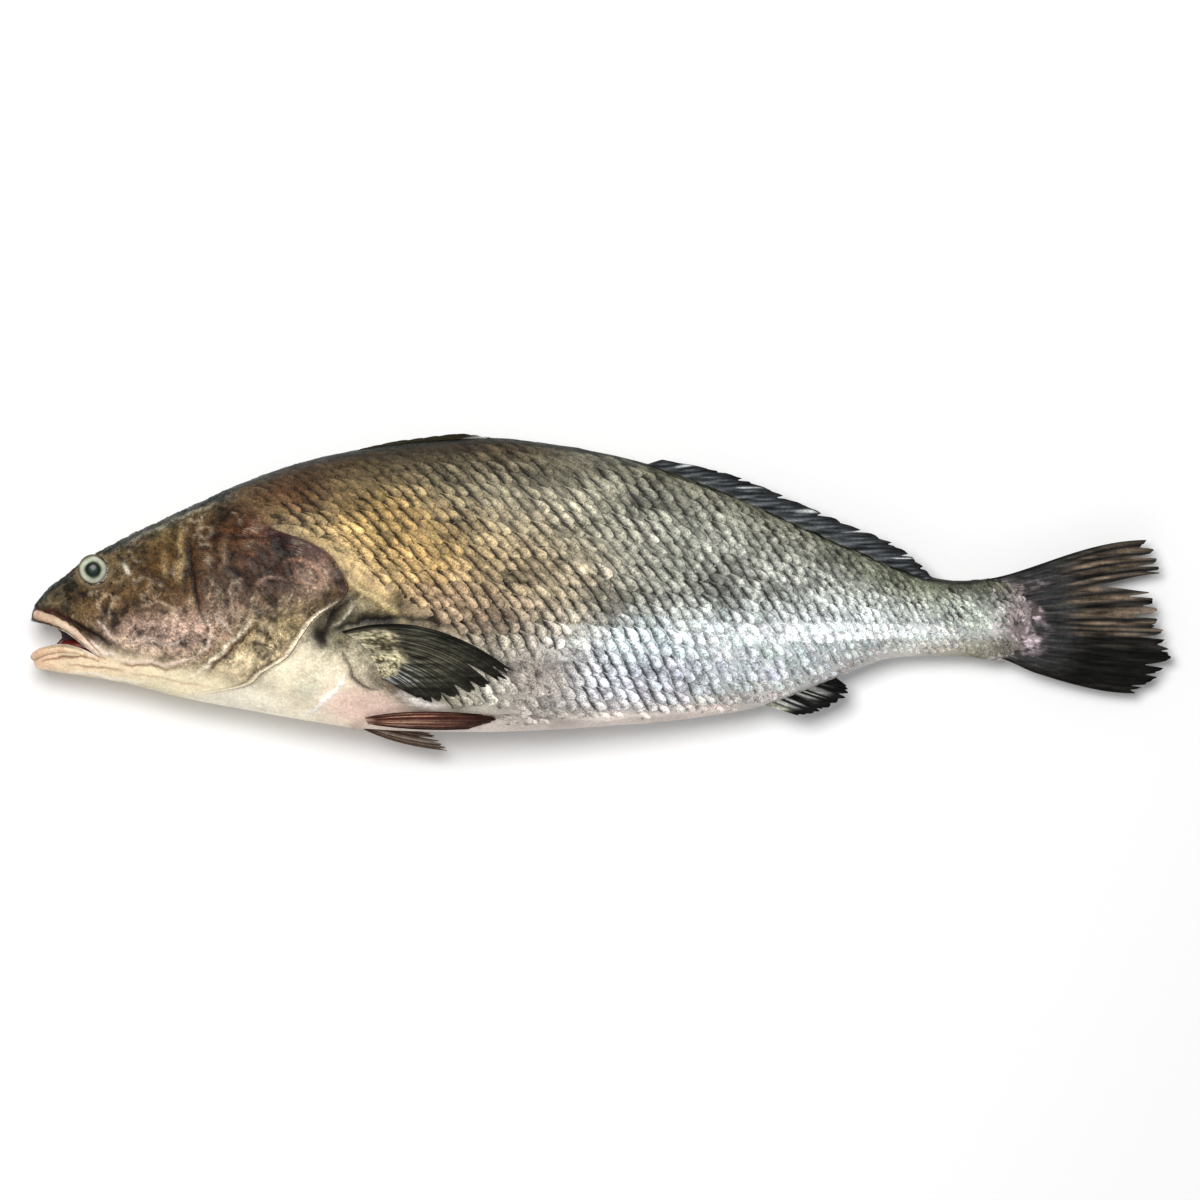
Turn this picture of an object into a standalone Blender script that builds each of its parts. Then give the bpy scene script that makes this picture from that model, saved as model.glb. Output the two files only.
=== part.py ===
"""A whole raw fish of the croaker family, 70 cm long, lying on its right side.

Units are metres. The head points to -X, the back to +Y and the left flank, which shows, to +Z.
Profile points are read in a side view: x runs from the tip of the lower jaw towards the tail,
and y is the height over the body's long axis. place() moves them into the part's own frame.
"""

import math

import bmesh
import bpy
import numpy as np

MM = 0.001

# Where the side view's zero lies: the origin is under the middle of the whole fish.
TOTAL_LENGTH = 0.700
AXIS_Y = -0.0168

# The body's own length, without the tail fin's blade, and how round its two ends are.
BODY_END = 0.613
TAIL_ROUND_START = 0.586
SNOUT_ROUND_WIDTH = 0.016
SNOUT_ROUND_HEIGHT = 0.004
SNOUT_TIP = 0.0004

# Side view of the body in mm: its back, its belly, and the height where it is widest.
BACK = [
    (0, 5.5), (3.5, 9.5), (12, 19.4), (22, 26.9), (32, 35), (42, 41), (61, 50.7), (81, 60.5),
    (120, 79.3), (159, 94), (208, 105), (247, 109.6), (286, 111), (325, 106.4), (373, 96.4),
    (410, 84), (446, 68.8), (477, 55), (515, 38.5), (547, 26.6), (570, 23.8), (590, 25.6), (613, 27),
]
BELLY = [
    (0, -24), (2.4, -27.6), (12, -30.9), (32, -33.9), (61, -39.2), (90, -46.6), (139, -56),
    (198, -65.6), (265, -68.4), (345, -65.4), (413, -58.9), (443, -53.8), (494, -35), (521, -24.4),
    (550, -22), (570, -22.2), (590, -25), (613, -27),
]
WIDEST = [(0, -8), (40, 2), (120, 12), (200, 17), (300, 18), (420, 10), (520, 5), (613, 0)]

# Half of the body's thickness, and how boxy a cross section is: 2 is an ellipse.
HALF_WIDTH = [
    (0, 10), (12, 15.5), (22, 19.5), (40, 24.5), (61, 29), (100, 36), (140, 41), (190, 44.5),
    (250, 44.5), (310, 41.5), (370, 35.5), (430, 27.5), (490, 19), (540, 12.5), (570, 10), (595, 6.5), (613, 2.6),
]
BOXY_BACK = [(0, 2.8), (40, 4.2), (90, 3.0), (160, 2.2), (300, 2.0), (613, 2.0)]
BOXY_BELLY = [(0, 2.4), (60, 2.1), (160, 2.2), (300, 2.3), (420, 2.1), (613, 2.0)]

# The fish is limp: its middle plane sinks towards the table at the snout and the tail.
MIDDLE_HEIGHT = [
    (0, 30.5), (60, 34.5), (120, 37.5), (190, 40), (250, 40), (310, 37.6), (370, 33.4),
    (430, 28.6), (490, 24.6), (550, 21.4), (610, 18.6), (700, 13.5),
]
TABLE_SOFTNESS = 0.0008
TABLE_PRESS = 0.0002
TABLE_CUT = 5e-5

# Rear rim of the gill cover in mm, as (y, x), and the step from its flap down to the flank.
GILL_RIM = [
    (-60, 98), (-45.7, 105), (-41.4, 127.3), (-31.9, 142.8), (-23.4, 156.5), (-10.5, 166), (3.2, 177),
    (11.8, 190), (17.9, 194.5), (29.8, 190), (40.1, 183), (47.9, 170), (55.6, 149), (64, 136), (120, 130),
]
FLAP_RISE = 0.0016
FLAP_SINK = 0.0010
FLAP_FRONT = 0.060
FLAP_BEHIND = 0.028
FLAP_EDGE = 0.0009
FLAP_TOP_Y = 0.060
FLAP_LOW_Y = -0.047
FLAP_FADE = 0.008

HEAD_STATIONS = 30
TRUNK_STATIONS = 37
AROUND = 36

# The eye: its place in the side view, the ball, and the gap that its socket leaves round it.
EYE_X = 0.0394
EYE_Y = 0.0306
EYE_RADIUS = 0.0096
EYE_FLATNESS = 0.78
EYE_BULGE = 0.0026
SOCKET_GAP = 0.0003
SOCKET_OPENS = 2.4
EYE_SEGMENTS = 20

# The open mouth in mm: the side view of the opening, the throat behind it, the lips and tongue.
MOUTH_OPENING = [
    (-14, 4), (1.8, -1), (12.6, -3.4), (23.2, -8), (30.7, -13.6), (42, -22.4),
    (31.2, -17), (23.2, -14.8), (15.7, -14.8), (6.4, -17), (0.7, -20.4), (-14, -26),
]
UPPER_LIP = [(4.0, 3.2), (13.5, 0.2), (24.2, -4.8), (32.4, -10.9), (38.2, -15.8), (43.5, -20.4)]
LOWER_LIP = [(2.5, -22.8), (9.2, -19.9), (21.4, -18.0), (33.6, -20.2), (43, -24.2)]
UPPER_LIP_RADIUS = 0.0034
LOWER_LIP_RADIUS = 0.0026
THROAT_CENTRE = (0.044, -0.013)
THROAT_HALF = (0.030, 0.0072, 0.012)
TONGUE_CENTRE = (0.041, -0.0165)
TONGUE_HALF = (0.024, 0.0065, 0.0085)
LIP_STEPS = 10
LIP_TAPER = 0.35
LIP_TILT = 0.35
MOUTH_REACH = 0.040
LIP_INSET = 0.90
LIP_SIDES = 8


def curve(points, scale=MM):
    """A smooth function through the points, which are in mm unless scale says otherwise."""
    xs = np.array([p[0] for p in points], float) * MM
    ys = np.array([p[1] for p in points], float) * scale
    slopes = np.gradient(ys, xs)

    def at(x):
        x = np.clip(np.asarray(x, float), xs[0], xs[-1])
        i = np.clip(np.searchsorted(xs, x) - 1, 0, len(xs) - 2)
        span = xs[i + 1] - xs[i]
        t = (x - xs[i]) / span
        rise = (2 * t**3 - 3 * t**2 + 1) * ys[i] + (3 * t**2 - 2 * t**3) * ys[i + 1]
        bend = (t**3 - 2 * t**2 + t) * slopes[i] + (t**3 - t**2) * slopes[i + 1]
        return rise + bend * span

    return at


back_y = curve(BACK)
belly_y = curve(BELLY)
widest_y = curve(WIDEST)
half_width = curve(HALF_WIDTH)
boxy_back = curve(BOXY_BACK, 1)
boxy_belly = curve(BOXY_BELLY, 1)
middle_z = curve(MIDDLE_HEIGHT)
gill_rim_x = curve(GILL_RIM)


def smooth_step(t):
    t = np.clip(t, 0, 1)
    return t * t * (3 - 2 * t)


def round_end(distance, reach):
    """Grows from 0 at an end to 1 at reach behind it, along a quarter circle."""
    share = np.clip(distance / reach, 0, 1)
    return np.sqrt(1 - (1 - share) ** 2)


def section(x):
    """The cross section at x: middle, heights above and below it, half width and both boxinesses."""
    end = round_end(BODY_END - x, BODY_END - TAIL_ROUND_START)
    tall = round_end(x, SNOUT_ROUND_HEIGHT) * end
    wide = round_end(x, SNOUT_ROUND_WIDTH)
    middle = widest_y(x)
    above = (back_y(x) - middle) * tall
    below = (middle - belly_y(x)) * tall
    return middle, above, below, half_width(x) * wide, boxy_back(x), boxy_belly(x)


def skin(x, angle):
    """Height y and sideways distance of the plain body's skin. Angle 0 is the back, pi the belly."""
    middle, above, below, wide, top, low = section(x)
    up = np.cos(angle)
    boxy = np.where(up >= 0, top, low)
    y = middle + np.where(up >= 0, above, below) * np.sign(up) * np.abs(up) ** (2 / boxy)
    side = wide * np.sign(np.sin(angle)) * np.abs(np.sin(angle)) ** (2 / boxy)
    return y, side


def flank_reach(x, y):
    """Sideways distance of the flank at a point of the side view."""
    middle, above, below, wide, top, low = section(x)
    up = y >= middle
    share = np.clip(np.abs(y - middle) / np.maximum(np.where(up, above, below), 1e-6), 0, 1)
    boxy = np.where(up, top, low)
    return wide * (1 - share**boxy) ** (1 / boxy)


def settle(z):
    """Heights above the table once the fish's own weight has flattened what would sink into it."""
    soft = 0.5 * (z + np.sqrt(z * z + 4 * TABLE_SOFTNESS**2)) - TABLE_PRESS
    return np.maximum(soft, 0)


def place(x, y, z):
    """A point of the side view, at height z, in the part's own frame."""
    return (float(x) - TOTAL_LENGTH / 2, float(y) + AXIS_Y, float(z))


def rim_of_gills(angle):
    """Where along the body the gill cover ends, for each angle round it."""
    low = np.full_like(angle, 0.08)
    high = np.full_like(angle, 0.21)
    for _ in range(30):
        x = (low + high) / 2
        ahead = x < gill_rim_x(skin(x, angle)[0])
        low = np.where(ahead, x, low)
        high = np.where(ahead, high, x)
    return (low + high) / 2


def flap_share(y):
    """1 where the gill cover is a free flap, fading to 0 over the nape and under the throat."""
    return smooth_step((FLAP_TOP_Y - y) / FLAP_FADE) * smooth_step((y - FLAP_LOW_Y) / FLAP_FADE)


def body_point(x, angle, rim):
    """A point of the body with its gill cover, which stands over the flank behind it."""
    y, side = skin(x, angle)
    before = smooth_step((x - rim + FLAP_FRONT) / FLAP_FRONT) * FLAP_RISE
    behind = smooth_step((x - rim) / FLAP_BEHIND) * FLAP_SINK - FLAP_SINK
    swell = np.where(x <= rim, before, behind) * flap_share(y)
    side = side + np.sign(side) * swell
    return y, settle(middle_z(x) + side)


def mesh_object(name, points, faces, material):
    """A closed mesh with its faces turned outwards and shaded smooth."""
    mesh = bpy.data.meshes.new(name)
    mesh.from_pydata(points, [], faces)
    bm = bmesh.new()
    bm.from_mesh(mesh)
    bmesh.ops.remove_doubles(bm, verts=bm.verts, dist=1e-6)
    bmesh.ops.recalc_face_normals(bm, faces=bm.faces)
    bm.to_mesh(mesh)
    bm.free()
    mesh.shade_smooth()
    mesh.materials.append(material)
    made = bpy.data.objects.new(name, mesh)
    bpy.context.scene.collection.objects.link(made)
    return made


def ring_faces(rings, around):
    """Quads between closed rings of points, and a cap on each end."""
    faces = []
    for i in range(rings - 1):
        for j in range(around):
            k = (j + 1) % around
            faces.append((i * around + j, i * around + k, (i + 1) * around + k, (i + 1) * around + j))
    faces.append(tuple(range(around)))
    faces.append(tuple((rings - 1) * around + j for j in range(around)))
    return faces


def build_body(material):
    """Head and trunk in one: rings of points, with two rings that follow the gill cover's rim."""
    angle = np.arange(AROUND) * 2 * math.pi / AROUND + math.pi / AROUND
    rim = rim_of_gills(angle)
    rings = []
    for i in range(HEAD_STATIONS + 1):
        share = (i / HEAD_STATIONS) ** 1.7
        rings.append(SNOUT_TIP + (rim - SNOUT_TIP) * share)
    for i in range(TRUNK_STATIONS + 1):
        share = i / TRUNK_STATIONS
        share = share + 0.1 * math.sin(math.pi * share) * share
        start = rim + FLAP_EDGE
        rings.append(start + (BODY_END - 1e-4 - start) * min(share, 1))
    points = []
    for x in rings:
        y, z = body_point(x, angle, rim)
        points += [place(*p) for p in zip(x, y, z)]
    return mesh_object("body", points, ring_faces(len(rings), AROUND), material)


def tube(name, centres, radius, material):
    """A round lip along a path of points, thinner towards its two ends."""
    points = []
    for i, centre in enumerate(centres):
        ahead = np.array(centres[min(i + 1, len(centres) - 1)]) - np.array(centres[max(i - 1, 0)])
        ahead = ahead / np.linalg.norm(ahead)
        side = np.cross(ahead, (0, LIP_TILT, 1))
        side = side / np.linalg.norm(side)
        up = np.cross(side, ahead)
        share = abs(2 * i / (len(centres) - 1) - 1)
        thick = radius * (1 - LIP_TAPER * share**3)
        for j in range(LIP_SIDES):
            turn = 2 * math.pi * j / LIP_SIDES
            spot = np.array(centre) + thick * (math.cos(turn) * side + math.sin(turn) * up)
            points.append(place(*spot))
    return mesh_object(name, points, ring_faces(len(centres), LIP_SIDES), material)


def lip_path(points):
    """Round the snout from the right corner of the mouth to the left one."""
    height = curve(points)
    near = points[0][0] * MM
    far = points[-1][0] * MM
    centres = []
    for i in range(-LIP_STEPS, LIP_STEPS + 1):
        share = abs(i) / LIP_STEPS
        x = near + (far - near) * share**2
        y = float(height(x))
        out = float(flank_reach(np.array(x), np.array(y))) * LIP_INSET
        centres.append((x, y, float(middle_z(x)) + out * (i > 0) - out * (i < 0)))
    return centres


def ellipsoid(name, centre, half, material, segments=16, outwards=(0, 1)):
    """A ball stretched to three half sizes; centre is in the side view's own axes.

    outwards is a side, +1 or -1, and how much more the ball is stretched towards it.
    """
    bm = bmesh.new()
    bmesh.ops.create_uvsphere(bm, u_segments=segments, v_segments=segments // 2, radius=1)
    for vertex in bm.verts:
        more = outwards[1] if vertex.co.z * outwards[0] > 0 else 1
        spot = [c + h * v for c, h, v in zip(centre, half, (vertex.co.x, vertex.co.y, vertex.co.z * more))]
        vertex.co = place(*spot)
    mesh = bpy.data.meshes.new(name)
    bm.to_mesh(mesh)
    bm.free()
    mesh.shade_smooth()
    mesh.materials.append(material)
    made = bpy.data.objects.new(name, mesh)
    bpy.context.scene.collection.objects.link(made)
    return made


def mouth_cutter(material):
    """The wedge between the jaws, right through the snout from side to side."""
    height = float(middle_z(0.02))
    outline = [(x * MM, y * MM) for x, y in MOUTH_OPENING]
    points = [place(x, y, height - MOUTH_REACH) for x, y in outline]
    points += [place(x, y, height + MOUTH_REACH) for x, y in outline]
    count = len(outline)
    faces = [(i, (i + 1) % count, count + (i + 1) % count, count + i) for i in range(count)]
    faces += [tuple(range(count)), tuple(range(count, 2 * count))]
    return mesh_object("mouth_cutter", points, faces, material)


def fin_solid(name, ray_point, rays, rows, thickness, notch, material, root=None):
    """A thin blade with a ridge on each ray and a notch in the web between two rays.

    ray_point(v, t) gives the blade's middle for ray v and distance t along it, both 0 to 1.
    thickness is (at the base, at the tip), and notch(v) the share of the web that is torn back.
    A blade that clings to the body has a root instead: how far it reaches under the skin, with
    the sign of the side that it lies on.
    """
    columns = 2 * rays - 1
    upper, lower = [], []
    for c in range(columns):
        v = c / (columns - 1)
        on_ray = c % 2 == 0
        reach = 1 if on_ray else 1 - notch(v)
        for r in range(rows + 1):
            t = r / rows * reach
            x, y, z = ray_point(v, t)
            half = (thickness[0] + (thickness[1] - thickness[0]) * t) / 2 * (1 if on_ray else 0.62)
            upper.append(place(x, y, z + (half if root is None else math.copysign(half, root))))
            lower.append(place(x, y, z - (half if root is None else root)))
    count = len(upper)
    faces = []
    for c in range(columns - 1):
        for r in range(rows):
            a = c * (rows + 1) + r
            b = a + rows + 1
            for corners in ((a, a + 1, b + 1), (a, b + 1, b)):
                faces.append(corners)
                faces.append(tuple(count + k for k in reversed(corners)))
    rim = [c * (rows + 1) for c in range(columns)]
    rim += [(columns - 1) * (rows + 1) + r for r in range(1, rows + 1)]
    rim += [c * (rows + 1) + rows for c in range(columns - 2, -1, -1)]
    rim += [r for r in range(rows - 1, 0, -1)]
    for a, b in zip(rim, rim[1:] + rim[:1]):
        faces.append((a, b, count + b))
        faces.append((a, count + b, count + a))
    return mesh_object(name, upper + lower, faces, material)


def bend_path(start, control, end, t):
    """A point of the curve from start to end that leans towards control."""
    return tuple((1 - t) ** 2 * a + 2 * t * (1 - t) * b + t * t * c for a, b, c in zip(start, control, end))


def across(points):
    """A function of v, from 0 to 1, that runs smoothly through side view points given in mm."""
    spots = [1000 * i / (len(points) - 1) for i in range(len(points))]
    xs = curve(list(zip(spots, [p[0] for p in points])))
    ys = curve(list(zip(spots, [p[1] for p in points])))
    return lambda v: (float(xs(v)), float(ys(v)))


def ragged(seed, low, high):
    """An uneven share for each v, the same on each run."""
    draws = np.random.default_rng(seed).uniform(low, high, 64)
    return lambda v: float(draws[int(round(v * 63))])


# Each fin's rays in mm: where they leave the body and where they end, from the first to the last.
TAIL_BASE = [(597, 25.2), (606, 13.5), (609, 0), (606, -13.5), (597, -25.2)]
TAIL_TIPS = [
    (684, 49), (690.5, 41), (693.5, 34), (692, 28.5), (688, 17), (690.5, 8), (692.5, 0),
    (695, -8), (698, -16), (700, -23.5), (696, -31), (687, -39.5), (677, -45),
]
TAIL_RAYS = 17
TAIL_ROOT_DEPTH = 0.012
TAIL_FLARE = 1.4
TAIL_WAVE = 0.0011
TAIL_SPLIT_AT = 0.29
TAIL_SPLIT = 0.34
TAIL_SPLIT_WIDTH = 0.035
SOFT_DORSAL_BASE = (0.373, 0.545)
SOFT_DORSAL_LENGTHS = [(0, 14), (90, 28), (250, 33), (500, 34), (700, 36), (850, 25), (1000, 8)]
SOFT_DORSAL_RISES = [(0, 6.6), (500, 7.0), (700, 6.6), (850, 4.2), (1000, 3.2)]
SOFT_DORSAL_ROOT = 0.0030
SOFT_DORSAL_DROOP = 0.0012
SOFT_DORSAL_LEAN = 0.0030
SOFT_DORSAL_WAVE = 0.0008
SOFT_DORSAL_RAYS = 21
SPINY_DORSAL_BASE = [(190, 98), (206, 101), (222, 103.5), (238, 105), (256, 106)]
SPINY_DORSAL_TIPS = [(203, 104.8), (222, 109), (243, 112), (264, 114), (282.5, 111.8)]
SPINY_DORSAL_RAYS = 8
ANAL_BASE = [(446, -50.5), (456, -46.8), (466, -43), (478, -38.2), (491, -33.4)]
ANAL_TIPS = [(470, -58.6), (480, -57.2), (492, -52), (501, -45.4), (499.5, -40.2)]
ANAL_RAYS = 9
PECTORAL_BASE = [(191, -7), (200, -12), (207, -19), (212, -27), (214, -34)]
PECTORAL_BEND = [(243, 10), (246, -8), (243, -24), (236, -35), (221, -38)]
PECTORAL_TIPS = [
    (297, -32.2), (293.5, -37.5), (284, -40.5), (275, -43.6), (265, -46), (255, -48.6),
    (246, -50.4), (237, -47.6), (227, -42),
]
PECTORAL_RAYS = 13
LEFT_PELVIC_BASE = [(205, -59.5), (206, -61.5), (207, -63.5)]
LEFT_PELVIC_BEND = [(232, -53), (240, -60), (236, -68.6)]
LEFT_PELVIC_TIPS = [(280, -57.8), (287.5, -61), (270, -66.6)]
RIGHT_PELVIC_BASE = [(201, -60), (200, -62), (199, -64)]
RIGHT_PELVIC_BEND = [(224, -66), (224, -71), (221, -77)]
RIGHT_PELVIC_TIPS = [(247, -69.5), (251, -74), (257, -80.2)]
PELVIC_RAYS = 6
BLADE_ROOT = 0.0030


def tail_point(v, t):
    base = across(TAIL_BASE)(v)
    tip = across(TAIL_TIPS)(v)
    x = base[0] - TAIL_ROOT_DEPTH + (tip[0] - base[0] + TAIL_ROOT_DEPTH) * t
    y = base[1] + (tip[1] - base[1]) * math.sin(math.pi * t / 2) ** TAIL_FLARE
    wave = TAIL_WAVE * math.sin(9 * v + 2.5 * t) * t
    return x, y, float(middle_z(x)) + wave


def soft_dorsal_point(v, t):
    """The rays lie back along the body, so each one runs level from the sloping ridge of the back."""
    x = SOFT_DORSAL_BASE[0] + (SOFT_DORSAL_BASE[1] - SOFT_DORSAL_BASE[0]) * v
    length = float(curve(SOFT_DORSAL_LENGTHS)(v))
    rise = float(curve(SOFT_DORSAL_RISES)(v))
    y = float(back_y(x)) - SOFT_DORSAL_ROOT + rise * t - SOFT_DORSAL_DROOP * t * t
    lean = SOFT_DORSAL_LEAN * math.sin(math.pi * t * 0.5) + SOFT_DORSAL_WAVE * math.sin(40 * v)
    return x + length * t, y, float(middle_z(x + length * t)) + lean


def spiny_dorsal_point(v, t):
    """The front fin is folded down into its groove, a low ridge with its longest spines behind."""
    base = across(SPINY_DORSAL_BASE)(v)
    tip = across(SPINY_DORSAL_TIPS)(v)
    x = base[0] + (tip[0] - base[0]) * t
    return x, base[1] + (tip[1] - base[1]) * t, float(middle_z(x)) + 0.0012


def anal_point(v, t):
    base = across(ANAL_BASE)(v)
    tip = across(ANAL_TIPS)(v)
    x = base[0] + (tip[0] - base[0]) * t
    y = base[1] + (tip[1] - base[1]) * t**0.9
    return x, y, float(middle_z(x)) + 0.0012 * math.sin(12 * v) * t


def pectoral_point(side):
    """The blade lies along the flank of the given side, +1 for the left and -1 for the right."""

    def point(v, t):
        x, y = bend_path(across(PECTORAL_BASE)(v), across(PECTORAL_BEND)(v), across(PECTORAL_TIPS)(v), t)
        reach = float(flank_reach(np.array(x), np.array(y))) - FLAP_SINK * (1 - t)
        return x, y, float(settle(middle_z(x) + side * reach))

    return point


def left_pelvic_point(v, t):
    """The upper pelvic fin lies back along the edge of the belly."""
    x, y = bend_path(across(LEFT_PELVIC_BASE)(v), across(LEFT_PELVIC_BEND)(v), across(LEFT_PELVIC_TIPS)(v), t)
    reach = float(flank_reach(np.array(x), np.array(max(y, float(belly_y(x)) + 0.0015))))
    return x, y, float(middle_z(x)) + reach


def right_pelvic_point(v, t):
    """The lower pelvic fin hangs out past the belly and sinks towards the table."""
    x, y = bend_path(across(RIGHT_PELVIC_BASE)(v), across(RIGHT_PELVIC_BEND)(v), across(RIGHT_PELVIC_TIPS)(v), t)
    return x, y, float(middle_z(x)) - 0.004 - 0.012 * t


def tail_notch(v):
    """The web tears back a little between all rays, and far in at the one deep split."""
    split = math.exp(-(((v - TAIL_SPLIT_AT) / TAIL_SPLIT_WIDTH) ** 2)) * TAIL_SPLIT
    return split + ragged(3, 0.02, 0.15)(v)


def build_fins(material):
    even = ragged(5, 0.04, 0.14)
    return [
        fin_solid("tail_fin", tail_point, TAIL_RAYS, 5, (0.0052, 0.0012), tail_notch, material),
        fin_solid("soft_dorsal", soft_dorsal_point, SOFT_DORSAL_RAYS, 3, (0.0034, 0.0014), even, material),
        fin_solid("spiny_dorsal", spiny_dorsal_point, SPINY_DORSAL_RAYS, 3, (0.0056, 0.0032), even, material),
        fin_solid("anal_fin", anal_point, ANAL_RAYS, 4, (0.0036, 0.0014), even, material),
        fin_solid(
            "left_pectoral", pectoral_point(1), PECTORAL_RAYS, 5, (0.0052, 0.0026), even, material, BLADE_ROOT
        ),
        fin_solid(
            "right_pectoral", pectoral_point(-1), PECTORAL_RAYS, 5, (0.0052, 0.0026), even, material, -BLADE_ROOT
        ),
        fin_solid(
            "left_pelvic", left_pelvic_point, PELVIC_RAYS, 6, (0.0050, 0.0026), even, material, BLADE_ROOT
        ),
        fin_solid("right_pelvic", right_pelvic_point, PELVIC_RAYS, 6, (0.0050, 0.0020), even, material),
    ]


def eye_centre(side):
    """The middle of an eyeball, whose outer side bulges a little from the cheek."""
    reach = float(flank_reach(np.array(EYE_X), np.array(EYE_Y))) - EYE_RADIUS * EYE_FLATNESS + EYE_BULGE
    return EYE_X, EYE_Y, float(middle_z(EYE_X)) + side * reach


def eye_half(extra=0.0):
    return EYE_RADIUS + extra, EYE_RADIUS + extra, EYE_RADIUS * EYE_FLATNESS + extra


def collect(name, members):
    """Moves the objects into a collection of their own, for one Boolean."""
    group = bpy.data.collections.new(name)
    for member in members:
        bpy.context.scene.collection.objects.unlink(member)
        group.objects.link(member)
    bpy.context.scene.collection.children.link(group)
    return group


def combine(target, members, operation):
    """Joins the members to the target, or cuts them out of it, in one Boolean, and removes them."""
    group = collect("operands", members)
    modifier = target.modifiers.new("combine", "BOOLEAN")
    modifier.operation = operation
    modifier.operand_type = "COLLECTION"
    modifier.collection = group
    modifier.solver = "EXACT"
    bpy.context.view_layer.objects.active = target
    bpy.ops.object.modifier_apply(modifier=modifier.name)
    for member in members:
        bpy.data.objects.remove(member)
    bpy.data.collections.remove(group)


def trim_at_table(target):
    """Cuts off all that is under the table top and closes the cut with a flat face."""
    bm = bmesh.new()
    bm.from_mesh(target.data)
    everything = bm.verts[:] + bm.edges[:] + bm.faces[:]
    cut = bmesh.ops.bisect_plane(
        bm, geom=everything, dist=1e-7, plane_co=(0, 0, TABLE_CUT), plane_no=(0, 0, 1), clear_inner=True
    )
    edges = [e for e in cut["geom_cut"] if isinstance(e, bmesh.types.BMEdge)]
    bmesh.ops.triangle_fill(bm, edges=edges, use_beauty=True)
    for vertex in bm.verts:
        vertex.co.z = max(vertex.co.z - TABLE_CUT, 0)
    bmesh.ops.recalc_face_normals(bm, faces=bm.faces)
    bm.to_mesh(target.data)
    bm.free()


def make_material(name, colour, roughness):
    made = bpy.data.materials.new(name)
    made.use_nodes = True
    shader = made.node_tree.nodes["Principled BSDF"]
    shader.inputs["Base Color"].default_value = (*colour, 1)
    shader.inputs["Roughness"].default_value = roughness
    shader.inputs["Metallic"].default_value = 0.0
    return made


def main():
    for old in list(bpy.data.objects):
        bpy.data.objects.remove(old)
    wet_skin = make_material("wet_skin", (0.36, 0.31, 0.22), 0.35)
    eye_white = make_material("eye_white", (0.62, 0.62, 0.52), 0.12)

    fish = build_body(wet_skin)
    fish.name = "fish"
    upper_lip = tube("upper_lip", lip_path(UPPER_LIP), UPPER_LIP_RADIUS, wet_skin)
    lower_lip = tube("lower_lip", lip_path(LOWER_LIP), LOWER_LIP_RADIUS, wet_skin)
    tongue = ellipsoid("tongue", (*TONGUE_CENTRE, float(middle_z(0.04))), TONGUE_HALF, wet_skin)
    throat = ellipsoid("throat", (*THROAT_CENTRE, float(middle_z(0.04))), THROAT_HALF, wet_skin)
    sockets = [
        ellipsoid(
            f"socket_{i}", eye_centre(side), eye_half(SOCKET_GAP), wet_skin, EYE_SEGMENTS, (side, SOCKET_OPENS)
        )
        for i, side in enumerate((1, -1))
    ]
    combine(fish, [mouth_cutter(wet_skin), throat], "DIFFERENCE")
    combine(fish, [upper_lip, lower_lip, tongue] + build_fins(wet_skin), "UNION")
    combine(fish, sockets, "DIFFERENCE")
    trim_at_table(fish)
    for name, side in (("eye_left", 1), ("eye_right", -1)):
        ellipsoid(name, eye_centre(side), eye_half(), eye_white, EYE_SEGMENTS)


main()
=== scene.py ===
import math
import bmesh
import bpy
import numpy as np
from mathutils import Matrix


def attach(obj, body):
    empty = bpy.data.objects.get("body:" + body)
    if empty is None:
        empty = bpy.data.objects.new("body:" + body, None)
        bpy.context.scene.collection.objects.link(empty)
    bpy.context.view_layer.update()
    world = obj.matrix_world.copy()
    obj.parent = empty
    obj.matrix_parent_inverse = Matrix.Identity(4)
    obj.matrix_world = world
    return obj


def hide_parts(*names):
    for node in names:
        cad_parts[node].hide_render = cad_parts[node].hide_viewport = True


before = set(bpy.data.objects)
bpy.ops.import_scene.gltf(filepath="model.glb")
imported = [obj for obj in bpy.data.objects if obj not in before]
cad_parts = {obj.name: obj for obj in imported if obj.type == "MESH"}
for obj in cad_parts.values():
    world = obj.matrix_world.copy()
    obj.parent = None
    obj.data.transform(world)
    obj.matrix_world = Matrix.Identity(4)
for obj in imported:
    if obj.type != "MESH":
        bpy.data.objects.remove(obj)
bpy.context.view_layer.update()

# %% [markdown]
# A whole raw croaker, 70 cm long, lies on its right side. The solid model gives its size and its
# place. This lesson builds the looks round it: the skin of the head with its folds, a coat of real
# overlapping scales, fins with rays, wet lips and glassy eyes. The measures are read in a side view,
# x from the jaw's tip towards the tail and y above the body's long axis, and are moved into the
# model's own frame at the end of each step.

MM = 0.001
TOTAL_LENGTH = 0.700
AXIS_Y = -0.0168
BODY_END = 0.613

# %% [markdown]
# A fish is a smooth loft. A few named profiles say how high, how low and how thick it is along its
# length, and a cubic curve through each profile's points gives every value between them. The numbers
# are the solid model's own, so the skin lies where the solid is.

# %% The body's profiles in mm
BACK = [
    (0, 5.5), (3.5, 9.5), (12, 19.4), (22, 26.9), (32, 35), (42, 41), (61, 50.7), (81, 60.5),
    (120, 79.3), (159, 94), (208, 105), (247, 109.6), (286, 111), (325, 106.4), (373, 96.4),
    (410, 84), (446, 68.8), (477, 55), (515, 38.5), (547, 26.6), (570, 23.8), (590, 25.6), (613, 27),
]
BELLY = [
    (0, -24), (2.4, -27.6), (12, -30.9), (32, -33.9), (61, -39.2), (90, -46.6), (139, -56),
    (198, -65.6), (265, -68.4), (345, -65.4), (413, -58.9), (443, -53.8), (494, -35), (521, -24.4),
    (550, -22), (570, -22.2), (590, -25), (613, -27),
]
WIDEST = [(0, -8), (40, 2), (120, 12), (200, 17), (300, 18), (420, 10), (520, 5), (613, 0)]
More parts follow.
